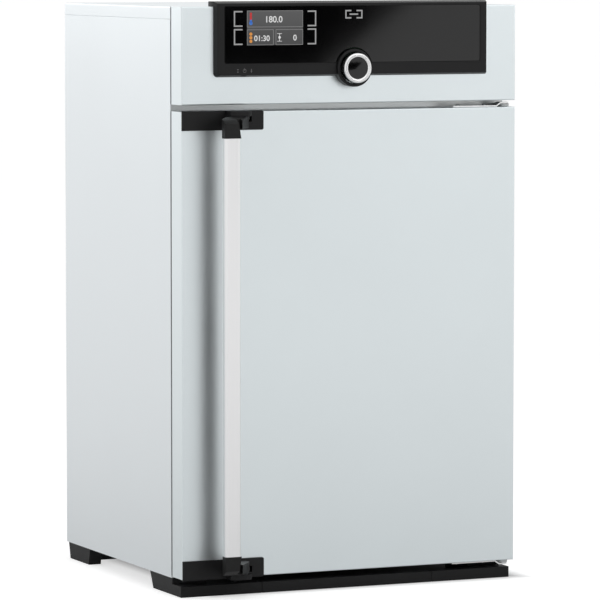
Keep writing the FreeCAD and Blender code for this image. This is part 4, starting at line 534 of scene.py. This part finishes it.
def moulded_plastic(name, tint, roughness, grain_scale, grain_depth, specular=0.5):
    """A moulded plastic: its colour and shine, with the moulded grain over it."""
    finish = bpy.data.materials.new(name)
    finish.use_nodes = True
    tree = finish.node_tree
    shader = tree.nodes["Principled BSDF"]
    shader.inputs["Specular IOR Level"].default_value = specular
    paler = [min(1, CLOUD_GAIN * part + CLOUD_RISE) for part in tint[:3]]
    grain = tree.nodes.new("ShaderNodeGroup")
    grain.node_tree = moulded_grain
    grain.inputs["Grain Scale"].default_value = grain_scale
    grain.inputs["Base Roughness"].default_value = roughness
    grain.inputs["Tint"].default_value = tint
    grain.inputs["Paler Tint"].default_value = (*paler, 1)
    bump = tree.nodes.new("ShaderNodeBump")
    bump.inputs["Distance"].default_value = grain_depth
    tree.links.new(grain.outputs["Colour"], shader.inputs["Base Color"])
    tree.links.new(grain.outputs["Roughness"], shader.inputs["Roughness"])
    tree.links.new(grain.outputs["Height"], bump.inputs["Height"])
    tree.links.new(bump.outputs["Normal"], shader.inputs["Normal"])
    return finish


foot_plastic = moulded_plastic("foot_plastic", FOOT_BLACK, roughness=0.55, grain_scale=1400,
                               grain_depth=0.00006, specular=0.16)
for foot in ("foot_front_left", "foot_front_right", "rear_feet", "front_skirt", "rear_crossbar"):
    softened(foot, FOOT_EDGE, foot_plastic)

# Latch brackets: folded plates with a black powder coat, which wrap the door's left corners and
# carry the pins of the handle.
BRACKET_BLACK = (0.010, 0.010, 0.0105, 1)
BRACKET_EDGE = 0.0005
bracket_coat = moulded_plastic("bracket_coat", BRACKET_BLACK, roughness=0.42, grain_scale=1800,
                               grain_depth=0.00004, specular=0.2)
for bracket in ("latch_bracket_bottom", "latch_bracket_top"):
    softened(bracket, BRACKET_EDGE, bracket_coat)

# Handle arms: two black plastic mouldings, plugged into the ends of the bar, which turn on the
# pins in the latch brackets.
ARM_BLACK = (0.012, 0.012, 0.012, 1)
ARM_EDGE = 0.0009
arm_plastic = moulded_plastic("arm_plastic", ARM_BLACK, roughness=0.45, grain_scale=1600,
                              grain_depth=0.00005, specular=0.2)
for arm in ("handle_arm_bottom", "handle_arm_top"):
    softened(arm, ARM_EDGE, arm_plastic)

# Handle bar: a rounded bar of pale anodised aluminium, drawn lengthwise; the faces that look back
# to the door are coloured black, a painted shade that darkens the bar's mirror image in the door.
BAR_METAL = (0.82, 0.82, 0.825, 1)
BAR_EDGE = 0.0003
# painted shade: the black of the bar's back faces
BAR_BACK_SHADE = (0.010, 0.010, 0.010, 1)
BAR_BACK_TURN = 0.5
bar_metal = steel_sheet("anodised_bar", BAR_METAL, roughness=0.30, fineness=900, stretch=0.02,
                        relief=0.00001, tone_change=0.03)
bar_back_shade = moulded_plastic("bar_back_shade", BAR_BACK_SHADE, roughness=0.6, grain_scale=1200,
                            grain_depth=0.00005, specular=0.2)
handle_bar = softened("handle_bar", BAR_EDGE, bar_metal)
handle_bar.data.materials.append(bar_back_shade)
# painted shade: faces turned back to the door take the black finish
for face in handle_bar.data.polygons:
    face.material_index = 1 if face.normal.y > BAR_BACK_TURN else 0

# Hinge lugs: castings with a pale coat, fixed to the casing at its right, which carry the pins
# that the door turns on.
LUG_COAT = (0.60, 0.61, 0.61, 1)
LUG_EDGE = 0.0008
hinge_coat = moulded_plastic("hinge_coat", LUG_COAT, roughness=0.4, grain_scale=900, grain_depth=0.00004)
softened("hinge_lugs", LUG_EDGE, hinge_coat)

# Black mouldings of fine-grained plastic: the frame of the control unit, the knob's collar and
# core, the power key, the cases of encoder and flap motor, the hinge bushes and the inlet.
FRAME_BLACK = (0.010, 0.010, 0.0105, 1)
MOULDING_EDGES = {
    "control_frame": 0.0006,
    "knob_collar": 0.0005,
    "knob_core": 0.0005,
    "power_button": 0.0004,
    "encoder_body": 0.0004,
    "flap_motor": 0.001,
    "hinge_bushes": 0.0003,
    "mains_inlet": 0.0006,
}
frame_plastic = moulded_plastic("frame_plastic", FRAME_BLACK, roughness=0.40, grain_scale=1800,
                                grain_depth=0.00003, specular=0.2)
for moulding, moulding_edge in MOULDING_EDGES.items():
    softened(moulding, moulding_edge, frame_plastic)

# Mains inlet pins: three flat blades of bright metal that stand in the recess of the socket,
# the earth pin above the other two.
PIN_METAL = (0.66, 0.62, 0.50, 1)
PIN_STAND = 0.0150
PIN_THICK = 0.0020
PIN_BROAD = 0.0040
PIN_EDGE = 0.0004
PIN_ACROSS = 0.0070
EARTH_RISE = 0.0032
SOCKET_DEPTH = 0.0212
inlet_low, inlet_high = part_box("mains_inlet")
inlet_middle = (inlet_low + inlet_high) / 2
pin_root = inlet_high.y - SOCKET_DEPTH
pin_brass = steel_sheet("pin_brass", PIN_METAL, roughness=0.25, fineness=1500, relief=0.00001)
mesh = bpy.data.meshes.new("mains_pins")
bm = bmesh.new()
for across, up in ((-PIN_ACROSS, -EARTH_RISE), (PIN_ACROSS, -EARTH_RISE), (0, EARTH_RISE)):
    spot = Vector((inlet_middle.x + across, pin_root + PIN_STAND / 2, inlet_middle.z + up))
    size = Matrix.Diagonal((PIN_THICK, PIN_STAND, PIN_BROAD, 1))
    bmesh.ops.create_cube(bm, size=1.0, matrix=Matrix.Translation(spot) @ size)
bmesh.ops.bevel(bm, geom=bm.edges, offset=PIN_EDGE, offset_type="OFFSET", segments=2, profile=0.5,
                affect="EDGES", material=-1)
bm.to_mesh(mesh)
bm.free()
mesh.materials.append(pin_brass)
mains_pins = bpy.data.objects.new("mains_pins", mesh)
bpy.context.scene.collection.objects.link(mains_pins)
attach(mains_pins, "cabinet")

# Door seal: a moulded frame of grey silicone around the plinth of the door's lining, which
# closes on the front frame around the mouth of the chamber.
SEAL_GREY = (0.30, 0.29, 0.275, 1)
SEAL_EDGE = 0.0005
seal_silicone = moulded_plastic("seal_silicone", SEAL_GREY, roughness=0.6, grain_scale=1200,
                                grain_depth=0.00005)
softened("door_seal", SEAL_EDGE, seal_silicone)

# Wool: boards of mineral wool, matted from fine fibres and cut to size, around the chamber and
# inside the door.
FIBRE_DARK = (0.30, 0.25, 0.14, 1)
FIBRE_PALE = (0.72, 0.66, 0.48, 1)
WOOL_EDGE = 0.0004


def wool_board():
    """Matted mineral fibres: strands of pale yellow over a darker ground."""
    finish = bpy.data.materials.new("mineral_wool")
    finish.use_nodes = True
    tree = finish.node_tree
    shader = tree.nodes["Principled BSDF"]
    shader.inputs["Roughness"].default_value = 0.95
    place = tree.nodes.new("ShaderNodeTexCoord")
    strands = tree.nodes.new("ShaderNodeTexNoise")
    strands.inputs["Scale"].default_value = 160.0
    strands.inputs["Detail"].default_value = 8.0
    strands.inputs["Distortion"].default_value = 1.6
    tree.links.new(place.outputs["Object"], strands.inputs["Vector"])
    shade = tree.nodes.new("ShaderNodeValToRGB")
    shade.color_ramp.elements[0].color = FIBRE_DARK
    shade.color_ramp.elements[1].color = FIBRE_PALE
    shade.color_ramp.elements[0].position = 0.35
    shade.color_ramp.elements[1].position = 0.7
    tree.links.new(strands.outputs["Fac"], shade.inputs["Fac"])
    tree.links.new(shade.outputs["Color"], shader.inputs["Base Color"])
    bump = tree.nodes.new("ShaderNodeBump")
    bump.inputs["Distance"].default_value = 0.002
    tree.links.new(strands.outputs["Fac"], bump.inputs["Height"])
    tree.links.new(bump.outputs["Normal"], shader.inputs["Normal"])
    return finish


mineral_wool = wool_board()
for wool in ("insulation_jacket", "door_insulation"):
    softened(wool, WOOL_EDGE, mineral_wool)

# Heaters: flat mica elements in crinkled metal foil, which lie against the outside of the
# chamber's walls.
FOIL_METAL = (0.60, 0.58, 0.54, 1)
FOIL_EDGE = 0.0004
heater_foil = steel_sheet("heater_foil", FOIL_METAL, roughness=0.38, fineness=180, relief=0.0003,
                          tone_change=0.2)
for heater in ("side_heaters", "end_heaters"):
    softened(heater, FOIL_EDGE, heater_foil)

# Control board: a flat board of glass fibre under green lacquer, which stands behind the display
# in the head of the casing.
BOARD_GREEN = (0.02, 0.11, 0.045, 1)
BOARD_EDGE = 0.0003
board_lacquer = moulded_plastic("board_lacquer", BOARD_GREEN, roughness=0.32, grain_scale=700,
                                grain_depth=0.00005)
softened("control_board", BOARD_EDGE, board_lacquer)

# Control glass: a flat sheet printed black from behind, with a soft sheen, set into the frame;
# the display module and the face of the knob have the same black gloss.
GLASS_SHEEN = 0.07
SHEEN_BELOW = 0.01
SHEEN_ABOVE = 0.02
INK_DARK = (0.0012, 0.0012, 0.0014, 1)
INK_PALE = (0.0022, 0.0022, 0.0026, 1)
DARK_FACE_EDGES = {"control_glass": 0.0003, "display_module": 0.0001, "knob_face": 0.0003}
glass_black = bpy.data.materials.new("printed_glass")
glass_black.use_nodes = True
tree = glass_black.node_tree
shader = tree.nodes["Principled BSDF"]
shader.inputs["IOR"].default_value = 1.5
place = tree.nodes.new("ShaderNodeTexCoord")
smears = tree.nodes.new("ShaderNodeTexNoise")
smears.inputs["Scale"].default_value = 9.0
smears.inputs["Detail"].default_value = 5.0
tree.links.new(place.outputs["Object"], smears.inputs["Vector"])
shine = tree.nodes.new("ShaderNodeMapRange")
shine.inputs["From Min"].default_value = 0.4
shine.inputs["From Max"].default_value = 0.8
shine.inputs["To Min"].default_value = GLASS_SHEEN - SHEEN_BELOW
shine.inputs["To Max"].default_value = GLASS_SHEEN + SHEEN_ABOVE
tree.links.new(smears.outputs["Fac"], shine.inputs["Value"])
tree.links.new(shine.outputs["Result"], shader.inputs["Roughness"])
ink = tree.nodes.new("ShaderNodeMixRGB")
ink.inputs["Color1"].default_value = INK_DARK
ink.inputs["Color2"].default_value = INK_PALE
tree.links.new(smears.outputs["Fac"], ink.inputs["Fac"])
tree.links.new(ink.outputs["Color"], shader.inputs["Base Color"])
for dark_face, dark_edge in DARK_FACE_EDGES.items():
    softened(dark_face, dark_edge, glass_black)

# Knob ring: a ring of polished steel with fine turning marks on its face, pressed on the core
# of the knob.
RING_STEEL = (0.78, 0.78, 0.78, 1)
RING_EDGE = 0.0002
knob_polish = steel_sheet("knob_polish", RING_STEEL, roughness=0.14, fineness=1200, relief=0.000005,
                          tone_change=0.02)
softened("knob_ring", RING_EDGE, knob_polish)

# Glass marks: pale grey brackets beside the display and the frame of the menu key, printed on
# the glass as a film a few hundredths of a millimetre thick.
GLASS_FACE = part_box("control_glass")[0].y
FILM = 0.00004
BAR_CLEARANCE = 0.000002
MARK_GREY = (0.52, 0.52, 0.52, 1)
MARK_LINE = 0.0022
KEYS_LEFT = -0.2074
KEYS_RIGHT = -0.0656
KEY_ARM = 0.0149
KEY_LEVELS = ((0.904, 0.929), (0.8754, 0.9007))
MENU_HALF = 0.0150
MENU_ARM = 0.0105
MENU_LOW = 0.9158
MENU_HIGH = 0.9295
MENU_MIDDLE = (MENU_LOW + MENU_HIGH) / 2
MENU_BAR_HALF = 0.0075


def printed(bm, face, left, right, low, high):
    """One flat printed bar on a face that looks to the front, a closed box of its own."""
    place = Matrix.Translation(((left + right) / 2, face - FILM / 2, (low + high) / 2))
    size = Matrix.Diagonal((abs(right - left) - BAR_CLEARANCE, FILM, abs(high - low) - BAR_CLEARANCE, 1))
    bmesh.ops.create_cube(bm, size=1.0, matrix=place @ size)


def printed_bracket(bm, outer, inward, reach, low, high):
    """An upright on the glass with an arm inward at each end."""
    printed(bm, GLASS_FACE, outer, outer + inward * MARK_LINE, low, high)
    for start, stop in ((low, low + MARK_LINE), (high, high - MARK_LINE)):
        printed(bm, GLASS_FACE, outer + inward * MARK_LINE, outer + inward * reach, start, stop)


def film_piece(name, bm, finish):
    """Finish a printed film as an object of its own."""
    mesh = bpy.data.meshes.new(name)
    bm.to_mesh(mesh)
    bm.free()
    mesh.materials.append(finish)
    piece = bpy.data.objects.new(name, mesh)
    bpy.context.scene.collection.objects.link(piece)
    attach(piece, "cabinet")


mark_ink = moulded_plastic("mark_ink", MARK_GREY, roughness=0.5, grain_scale=3000, grain_depth=0.000005)
bm = bmesh.new()
for outer, inward in ((KEYS_LEFT, 1), (KEYS_RIGHT, -1)):
    for low, high in KEY_LEVELS:
        printed_bracket(bm, outer, inward, KEY_ARM, low, high)
for inward in (1, -1):
    printed_bracket(bm, -inward * MENU_HALF, inward, MENU_ARM, MENU_LOW, MENU_HIGH)
printed(bm, GLASS_FACE, -MENU_BAR_HALF, MENU_BAR_HALF, MENU_MIDDLE - MARK_LINE / 2,
        MENU_MIDDLE + MARK_LINE / 2)
film_piece("glass_marks", bm, mark_ink)

# Display: a grey lit screen in the glass, with one wide field above two small ones, made as thin
# lit films: a thermometer, a timer and an air flap sign, and plain numbers.
SCREEN = {"left": -0.1848, "right": -0.0887, "low": 0.875, "high": 0.9293}
SCREEN_LINE = 0.0007
SCREEN_MIDDLE = 0.9014
SCREEN_COLUMN = -0.1374
FIELD_GAP = 0.0037
FIELDS = (
    (SCREEN["left"], SCREEN["right"], SCREEN_MIDDLE + FIELD_GAP / 2, SCREEN["high"]),
    (SCREEN["left"], SCREEN_COLUMN - FIELD_GAP / 2, SCREEN["low"], SCREEN_MIDDLE - FIELD_GAP / 2),
    (SCREEN_COLUMN + FIELD_GAP / 2, SCREEN["right"], SCREEN["low"], SCREEN_MIDDLE - FIELD_GAP / 2),
)
SCREEN_LOW_GREY = (0.045, 0.045, 0.046, 1)
SCREEN_HIGH_GREY = (0.075, 0.075, 0.076, 1)
LINE_GREY = (0.22, 0.22, 0.22, 1)
SIGN_WHITE = (0.62, 0.62, 0.62, 1)
SIGN_RED = (0.45, 0.03, 0.03, 1)
SIGN_BLUE = (0.05, 0.16, 0.50, 1)
SIGN_AMBER = (0.62, 0.25, 0.05, 1)
SCREEN_GLOW = 0.6
SIGN_GLOW = 0.5
INK_FACE = GLASS_FACE - FILM
NUMBER_WEIGHT = 0.00025
NUMBER_CAP_SHARE = 0.72
NUMBERS = {
    "screen_temperature": {"text": "180.0", "left": -0.1520, "low": 0.9108, "height": 0.0100},
    "screen_time": {"text": "01:30", "left": -0.1727, "low": 0.8816, "height": 0.0088},
    "screen_flap": {"text": "0", "left": -0.1055, "low": 0.8820, "height": 0.0092},
}
THERMOMETER_X = -0.1783
THERMOMETER_HALF = 0.0018
THERMOMETER_LOW = 0.9105
THERMOMETER_TURN = 0.9150
THERMOMETER_HIGH = 0.9262
BULB_LEVEL = 0.9095
BULB_RADIUS = 0.0030
TIMER_TOP = 0.8925
TIMER_STEP = 0.0057
TIMER_RADIUS = 0.0026
TIMER_DOTS = 3
FLAP_SIGN_X = -0.1290
FLAP_SIGN_HALF = 0.0042
FLAP_SIGN_LINE = 0.0008
FLAP_SIGN_LOW = 0.8805
FLAP_SIGN_HIGH = 0.8925
FLAP_STEM_HALF = 0.0005
FLAP_DISC_LEVEL = 0.8869
FLAP_DISC_RADIUS = 0.0022


def lit_film(name, tint, glow):
    """A backlit film, whose colour is also its light."""
    finish = bpy.data.materials.new(name)
    finish.use_nodes = True
    shader = finish.node_tree.nodes["Principled BSDF"]
    shader.inputs["Roughness"].default_value = 0.2
    shader.inputs["Base Color"].default_value = tint
    shader.inputs["Emission Color"].default_value = tint
    shader.inputs["Emission Strength"].default_value = glow
    return finish


def change_upwards(finish, low_tint, high_tint):
    """Let a lit film change its colour and light from the foot to the top of the screen."""
    tree = finish.node_tree
    shader = tree.nodes["Principled BSDF"]
    place = tree.nodes.new("ShaderNodeTexCoord")
    parts = tree.nodes.new("ShaderNodeSeparateXYZ")
    tree.links.new(place.outputs["Object"], parts.inputs[0])
    rise = tree.nodes.new("ShaderNodeMapRange")
    rise.inputs["From Min"].default_value = SCREEN["low"]
    rise.inputs["From Max"].default_value = SCREEN["high"]
    tree.links.new(parts.outputs["Z"], rise.inputs["Value"])
    shade = tree.nodes.new("ShaderNodeMixRGB")
    shade.inputs["Color1"].default_value = low_tint
    shade.inputs["Color2"].default_value = high_tint
    tree.links.new(rise.outputs["Result"], shade.inputs["Fac"])
    tree.links.new(shade.outputs["Color"], shader.inputs["Base Color"])
    tree.links.new(shade.outputs["Color"], shader.inputs["Emission Color"])


def numbers(name, text, left, low, height, finish):
    """Plain numbers on the screen, drawn with the built-in face and laid on as a mesh."""
    curve = bpy.data.curves.new(name, "FONT")
    curve.body = text
    curve.size = height / NUMBER_CAP_SHARE
    curve.extrude = FILM / 2
    curve.offset = NUMBER_WEIGHT
    stroke = bpy.data.objects.new(name, curve)
    bpy.context.scene.collection.objects.link(stroke)
    bpy.context.view_layer.update()
    mesh = bpy.data.meshes.new_from_object(stroke)
    bpy.data.objects.remove(stroke)
    bm = bmesh.new()
    bm.from_mesh(mesh)
    bpy.data.meshes.remove(mesh)
    bmesh.ops.remove_doubles(bm, verts=bm.verts, dist=FILM / 4)
    start = min(v.co.x for v in bm.verts)
    bmesh.ops.rotate(bm, verts=bm.verts, cent=(0, 0, 0), matrix=Matrix.Rotation(math.pi / 2, 3, "X"))
    bmesh.ops.translate(bm, verts=bm.verts, vec=(left - start, INK_FACE - FILM / 2, low))
    film_piece(name, bm, finish)


def printed_disc(bm, face, middle, level, radius):
    """One flat printed dot on a face that looks to the front."""
    place = Matrix.Translation((middle, face - FILM / 2, level))
    bmesh.ops.create_cone(bm, cap_ends=True, segments=24, radius1=radius, radius2=radius, depth=FILM,
                          matrix=place @ along_y)


screen_grey = lit_film("screen_grey", SCREEN_LOW_GREY, SCREEN_GLOW)
change_upwards(screen_grey, SCREEN_LOW_GREY, SCREEN_HIGH_GREY)
screen_white = lit_film("screen_white", SIGN_WHITE, SIGN_GLOW)
screen_red = lit_film("screen_red", SIGN_RED, SIGN_GLOW)
screen_blue = lit_film("screen_blue", SIGN_BLUE, SIGN_GLOW)
screen_amber = lit_film("screen_amber", SIGN_AMBER, SIGN_GLOW)
screen_line = lit_film("screen_line", LINE_GREY, SIGN_GLOW)
bm = bmesh.new()
printed(bm, GLASS_FACE, SCREEN["left"], SCREEN["right"], SCREEN["low"], SCREEN["high"])
film_piece("screen_ground", bm, screen_grey)
bm = bmesh.new()
for left, right, low, high in FIELDS:
    printed(bm, INK_FACE, left, right, high - SCREEN_LINE, high)
    printed(bm, INK_FACE, left, right, low, low + SCREEN_LINE)
    printed(bm, INK_FACE, left, left + SCREEN_LINE, low + SCREEN_LINE, high - SCREEN_LINE)
    printed(bm, INK_FACE, right - SCREEN_LINE, right, low + SCREEN_LINE, high - SCREEN_LINE)
film_piece("screen_fields", bm, screen_line)
for name, reading in NUMBERS.items():
    numbers(name, reading["text"], reading["left"], reading["low"], reading["height"], screen_white)
bm = bmesh.new()
printed(bm, INK_FACE, THERMOMETER_X - THERMOMETER_HALF, THERMOMETER_X + THERMOMETER_HALF,
        THERMOMETER_TURN, THERMOMETER_HIGH)
film_piece("screen_thermometer_hot", bm, screen_red)
bm = bmesh.new()
printed_disc(bm, INK_FACE, THERMOMETER_X, BULB_LEVEL, BULB_RADIUS)
printed(bm, INK_FACE, THERMOMETER_X - THERMOMETER_HALF, THERMOMETER_X + THERMOMETER_HALF,
        THERMOMETER_LOW, THERMOMETER_TURN)
film_piece("screen_thermometer_cold", bm, screen_blue)
bm = bmesh.new()
for dot in range(TIMER_DOTS):
    printed_disc(bm, INK_FACE, THERMOMETER_X, TIMER_TOP - dot * TIMER_STEP, TIMER_RADIUS)
film_piece("screen_clock", bm, screen_amber)
bm = bmesh.new()
for level in (FLAP_SIGN_LOW, FLAP_SIGN_HIGH):
    printed(bm, INK_FACE, FLAP_SIGN_X - FLAP_SIGN_HALF, FLAP_SIGN_X + FLAP_SIGN_HALF,
            level, level + FLAP_SIGN_LINE)
printed(bm, INK_FACE, FLAP_SIGN_X - FLAP_STEM_HALF, FLAP_SIGN_X + FLAP_STEM_HALF,
        FLAP_SIGN_LOW + FLAP_SIGN_LINE, FLAP_SIGN_HIGH)
printed_disc(bm, INK_FACE, FLAP_SIGN_X, FLAP_DISC_LEVEL, FLAP_DISC_RADIUS)
film_piece("screen_flap_sign", bm, screen_white)

# Rail signs: the ring with a stroke above the power key, two bars to its left and a small
# upright to its right, printed dark grey on the rail of the frame.
RAIL_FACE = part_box("control_frame")[0].y
SIGN_GREY = (0.16, 0.16, 0.16, 1)
RAIL_LEVEL = 0.8348
POWER_X = -0.1891
SIGN_STEP = 0.0116
RING_RADIUS = 0.0029
STROKE = 0.0006
STROKE_REACH = 1.5 * RING_RADIUS
BARS_HALF = 0.0012
BARS_THICK_HALF = 0.0006
BARS_RISE = 0.0018
UPRIGHT_HALF = 0.0004
UPRIGHT_REACH = 0.003
FOOTING_HALF = 0.0016
FOOTING_LOW = 0.0010
FOOTING_HIGH = 0.0004
sign_ink = moulded_plastic("sign_ink", SIGN_GREY, roughness=0.5, grain_scale=3000, grain_depth=0.000005)
bars_x = POWER_X - SIGN_STEP
upright_x = POWER_X + SIGN_STEP
bm = bmesh.new()
ring_place = Matrix.Translation((POWER_X, RAIL_FACE - FILM / 2, RAIL_LEVEL))
bmesh.ops.create_circle(bm, segments=40, radius=RING_RADIUS, matrix=ring_place @ along_y)
rim = bmesh.ops.extrude_edge_only(bm, edges=bm.edges[:])
inner = [item for item in rim["geom"] if isinstance(item, bmesh.types.BMVert)]
shrink = (RING_RADIUS - STROKE) / RING_RADIUS
bmesh.ops.scale(bm, verts=inner, vec=(shrink, 1, shrink),
                space=Matrix.Translation((-POWER_X, 0, -RAIL_LEVEL)))
bmesh.ops.solidify(bm, geom=bm.faces[:], thickness=FILM / 2)
bmesh.ops.recalc_face_normals(bm, faces=bm.faces)
printed(bm, RAIL_FACE, POWER_X - STROKE / 2, POWER_X + STROKE / 2, RAIL_LEVEL, RAIL_LEVEL + STROKE_REACH)
for level in (RAIL_LEVEL - BARS_RISE, RAIL_LEVEL + BARS_RISE):
    printed(bm, RAIL_FACE, bars_x - BARS_HALF, bars_x + BARS_HALF,
            level - BARS_THICK_HALF, level + BARS_THICK_HALF)
printed(bm, RAIL_FACE, upright_x - UPRIGHT_HALF, upright_x + UPRIGHT_HALF,
        RAIL_LEVEL - UPRIGHT_REACH, RAIL_LEVEL + UPRIGHT_REACH)
printed(bm, RAIL_FACE, upright_x - FOOTING_HALF, upright_x + FOOTING_HALF,
        RAIL_LEVEL - FOOTING_LOW, RAIL_LEVEL - FOOTING_HIGH)
film_piece("rail_signs", bm, sign_ink)
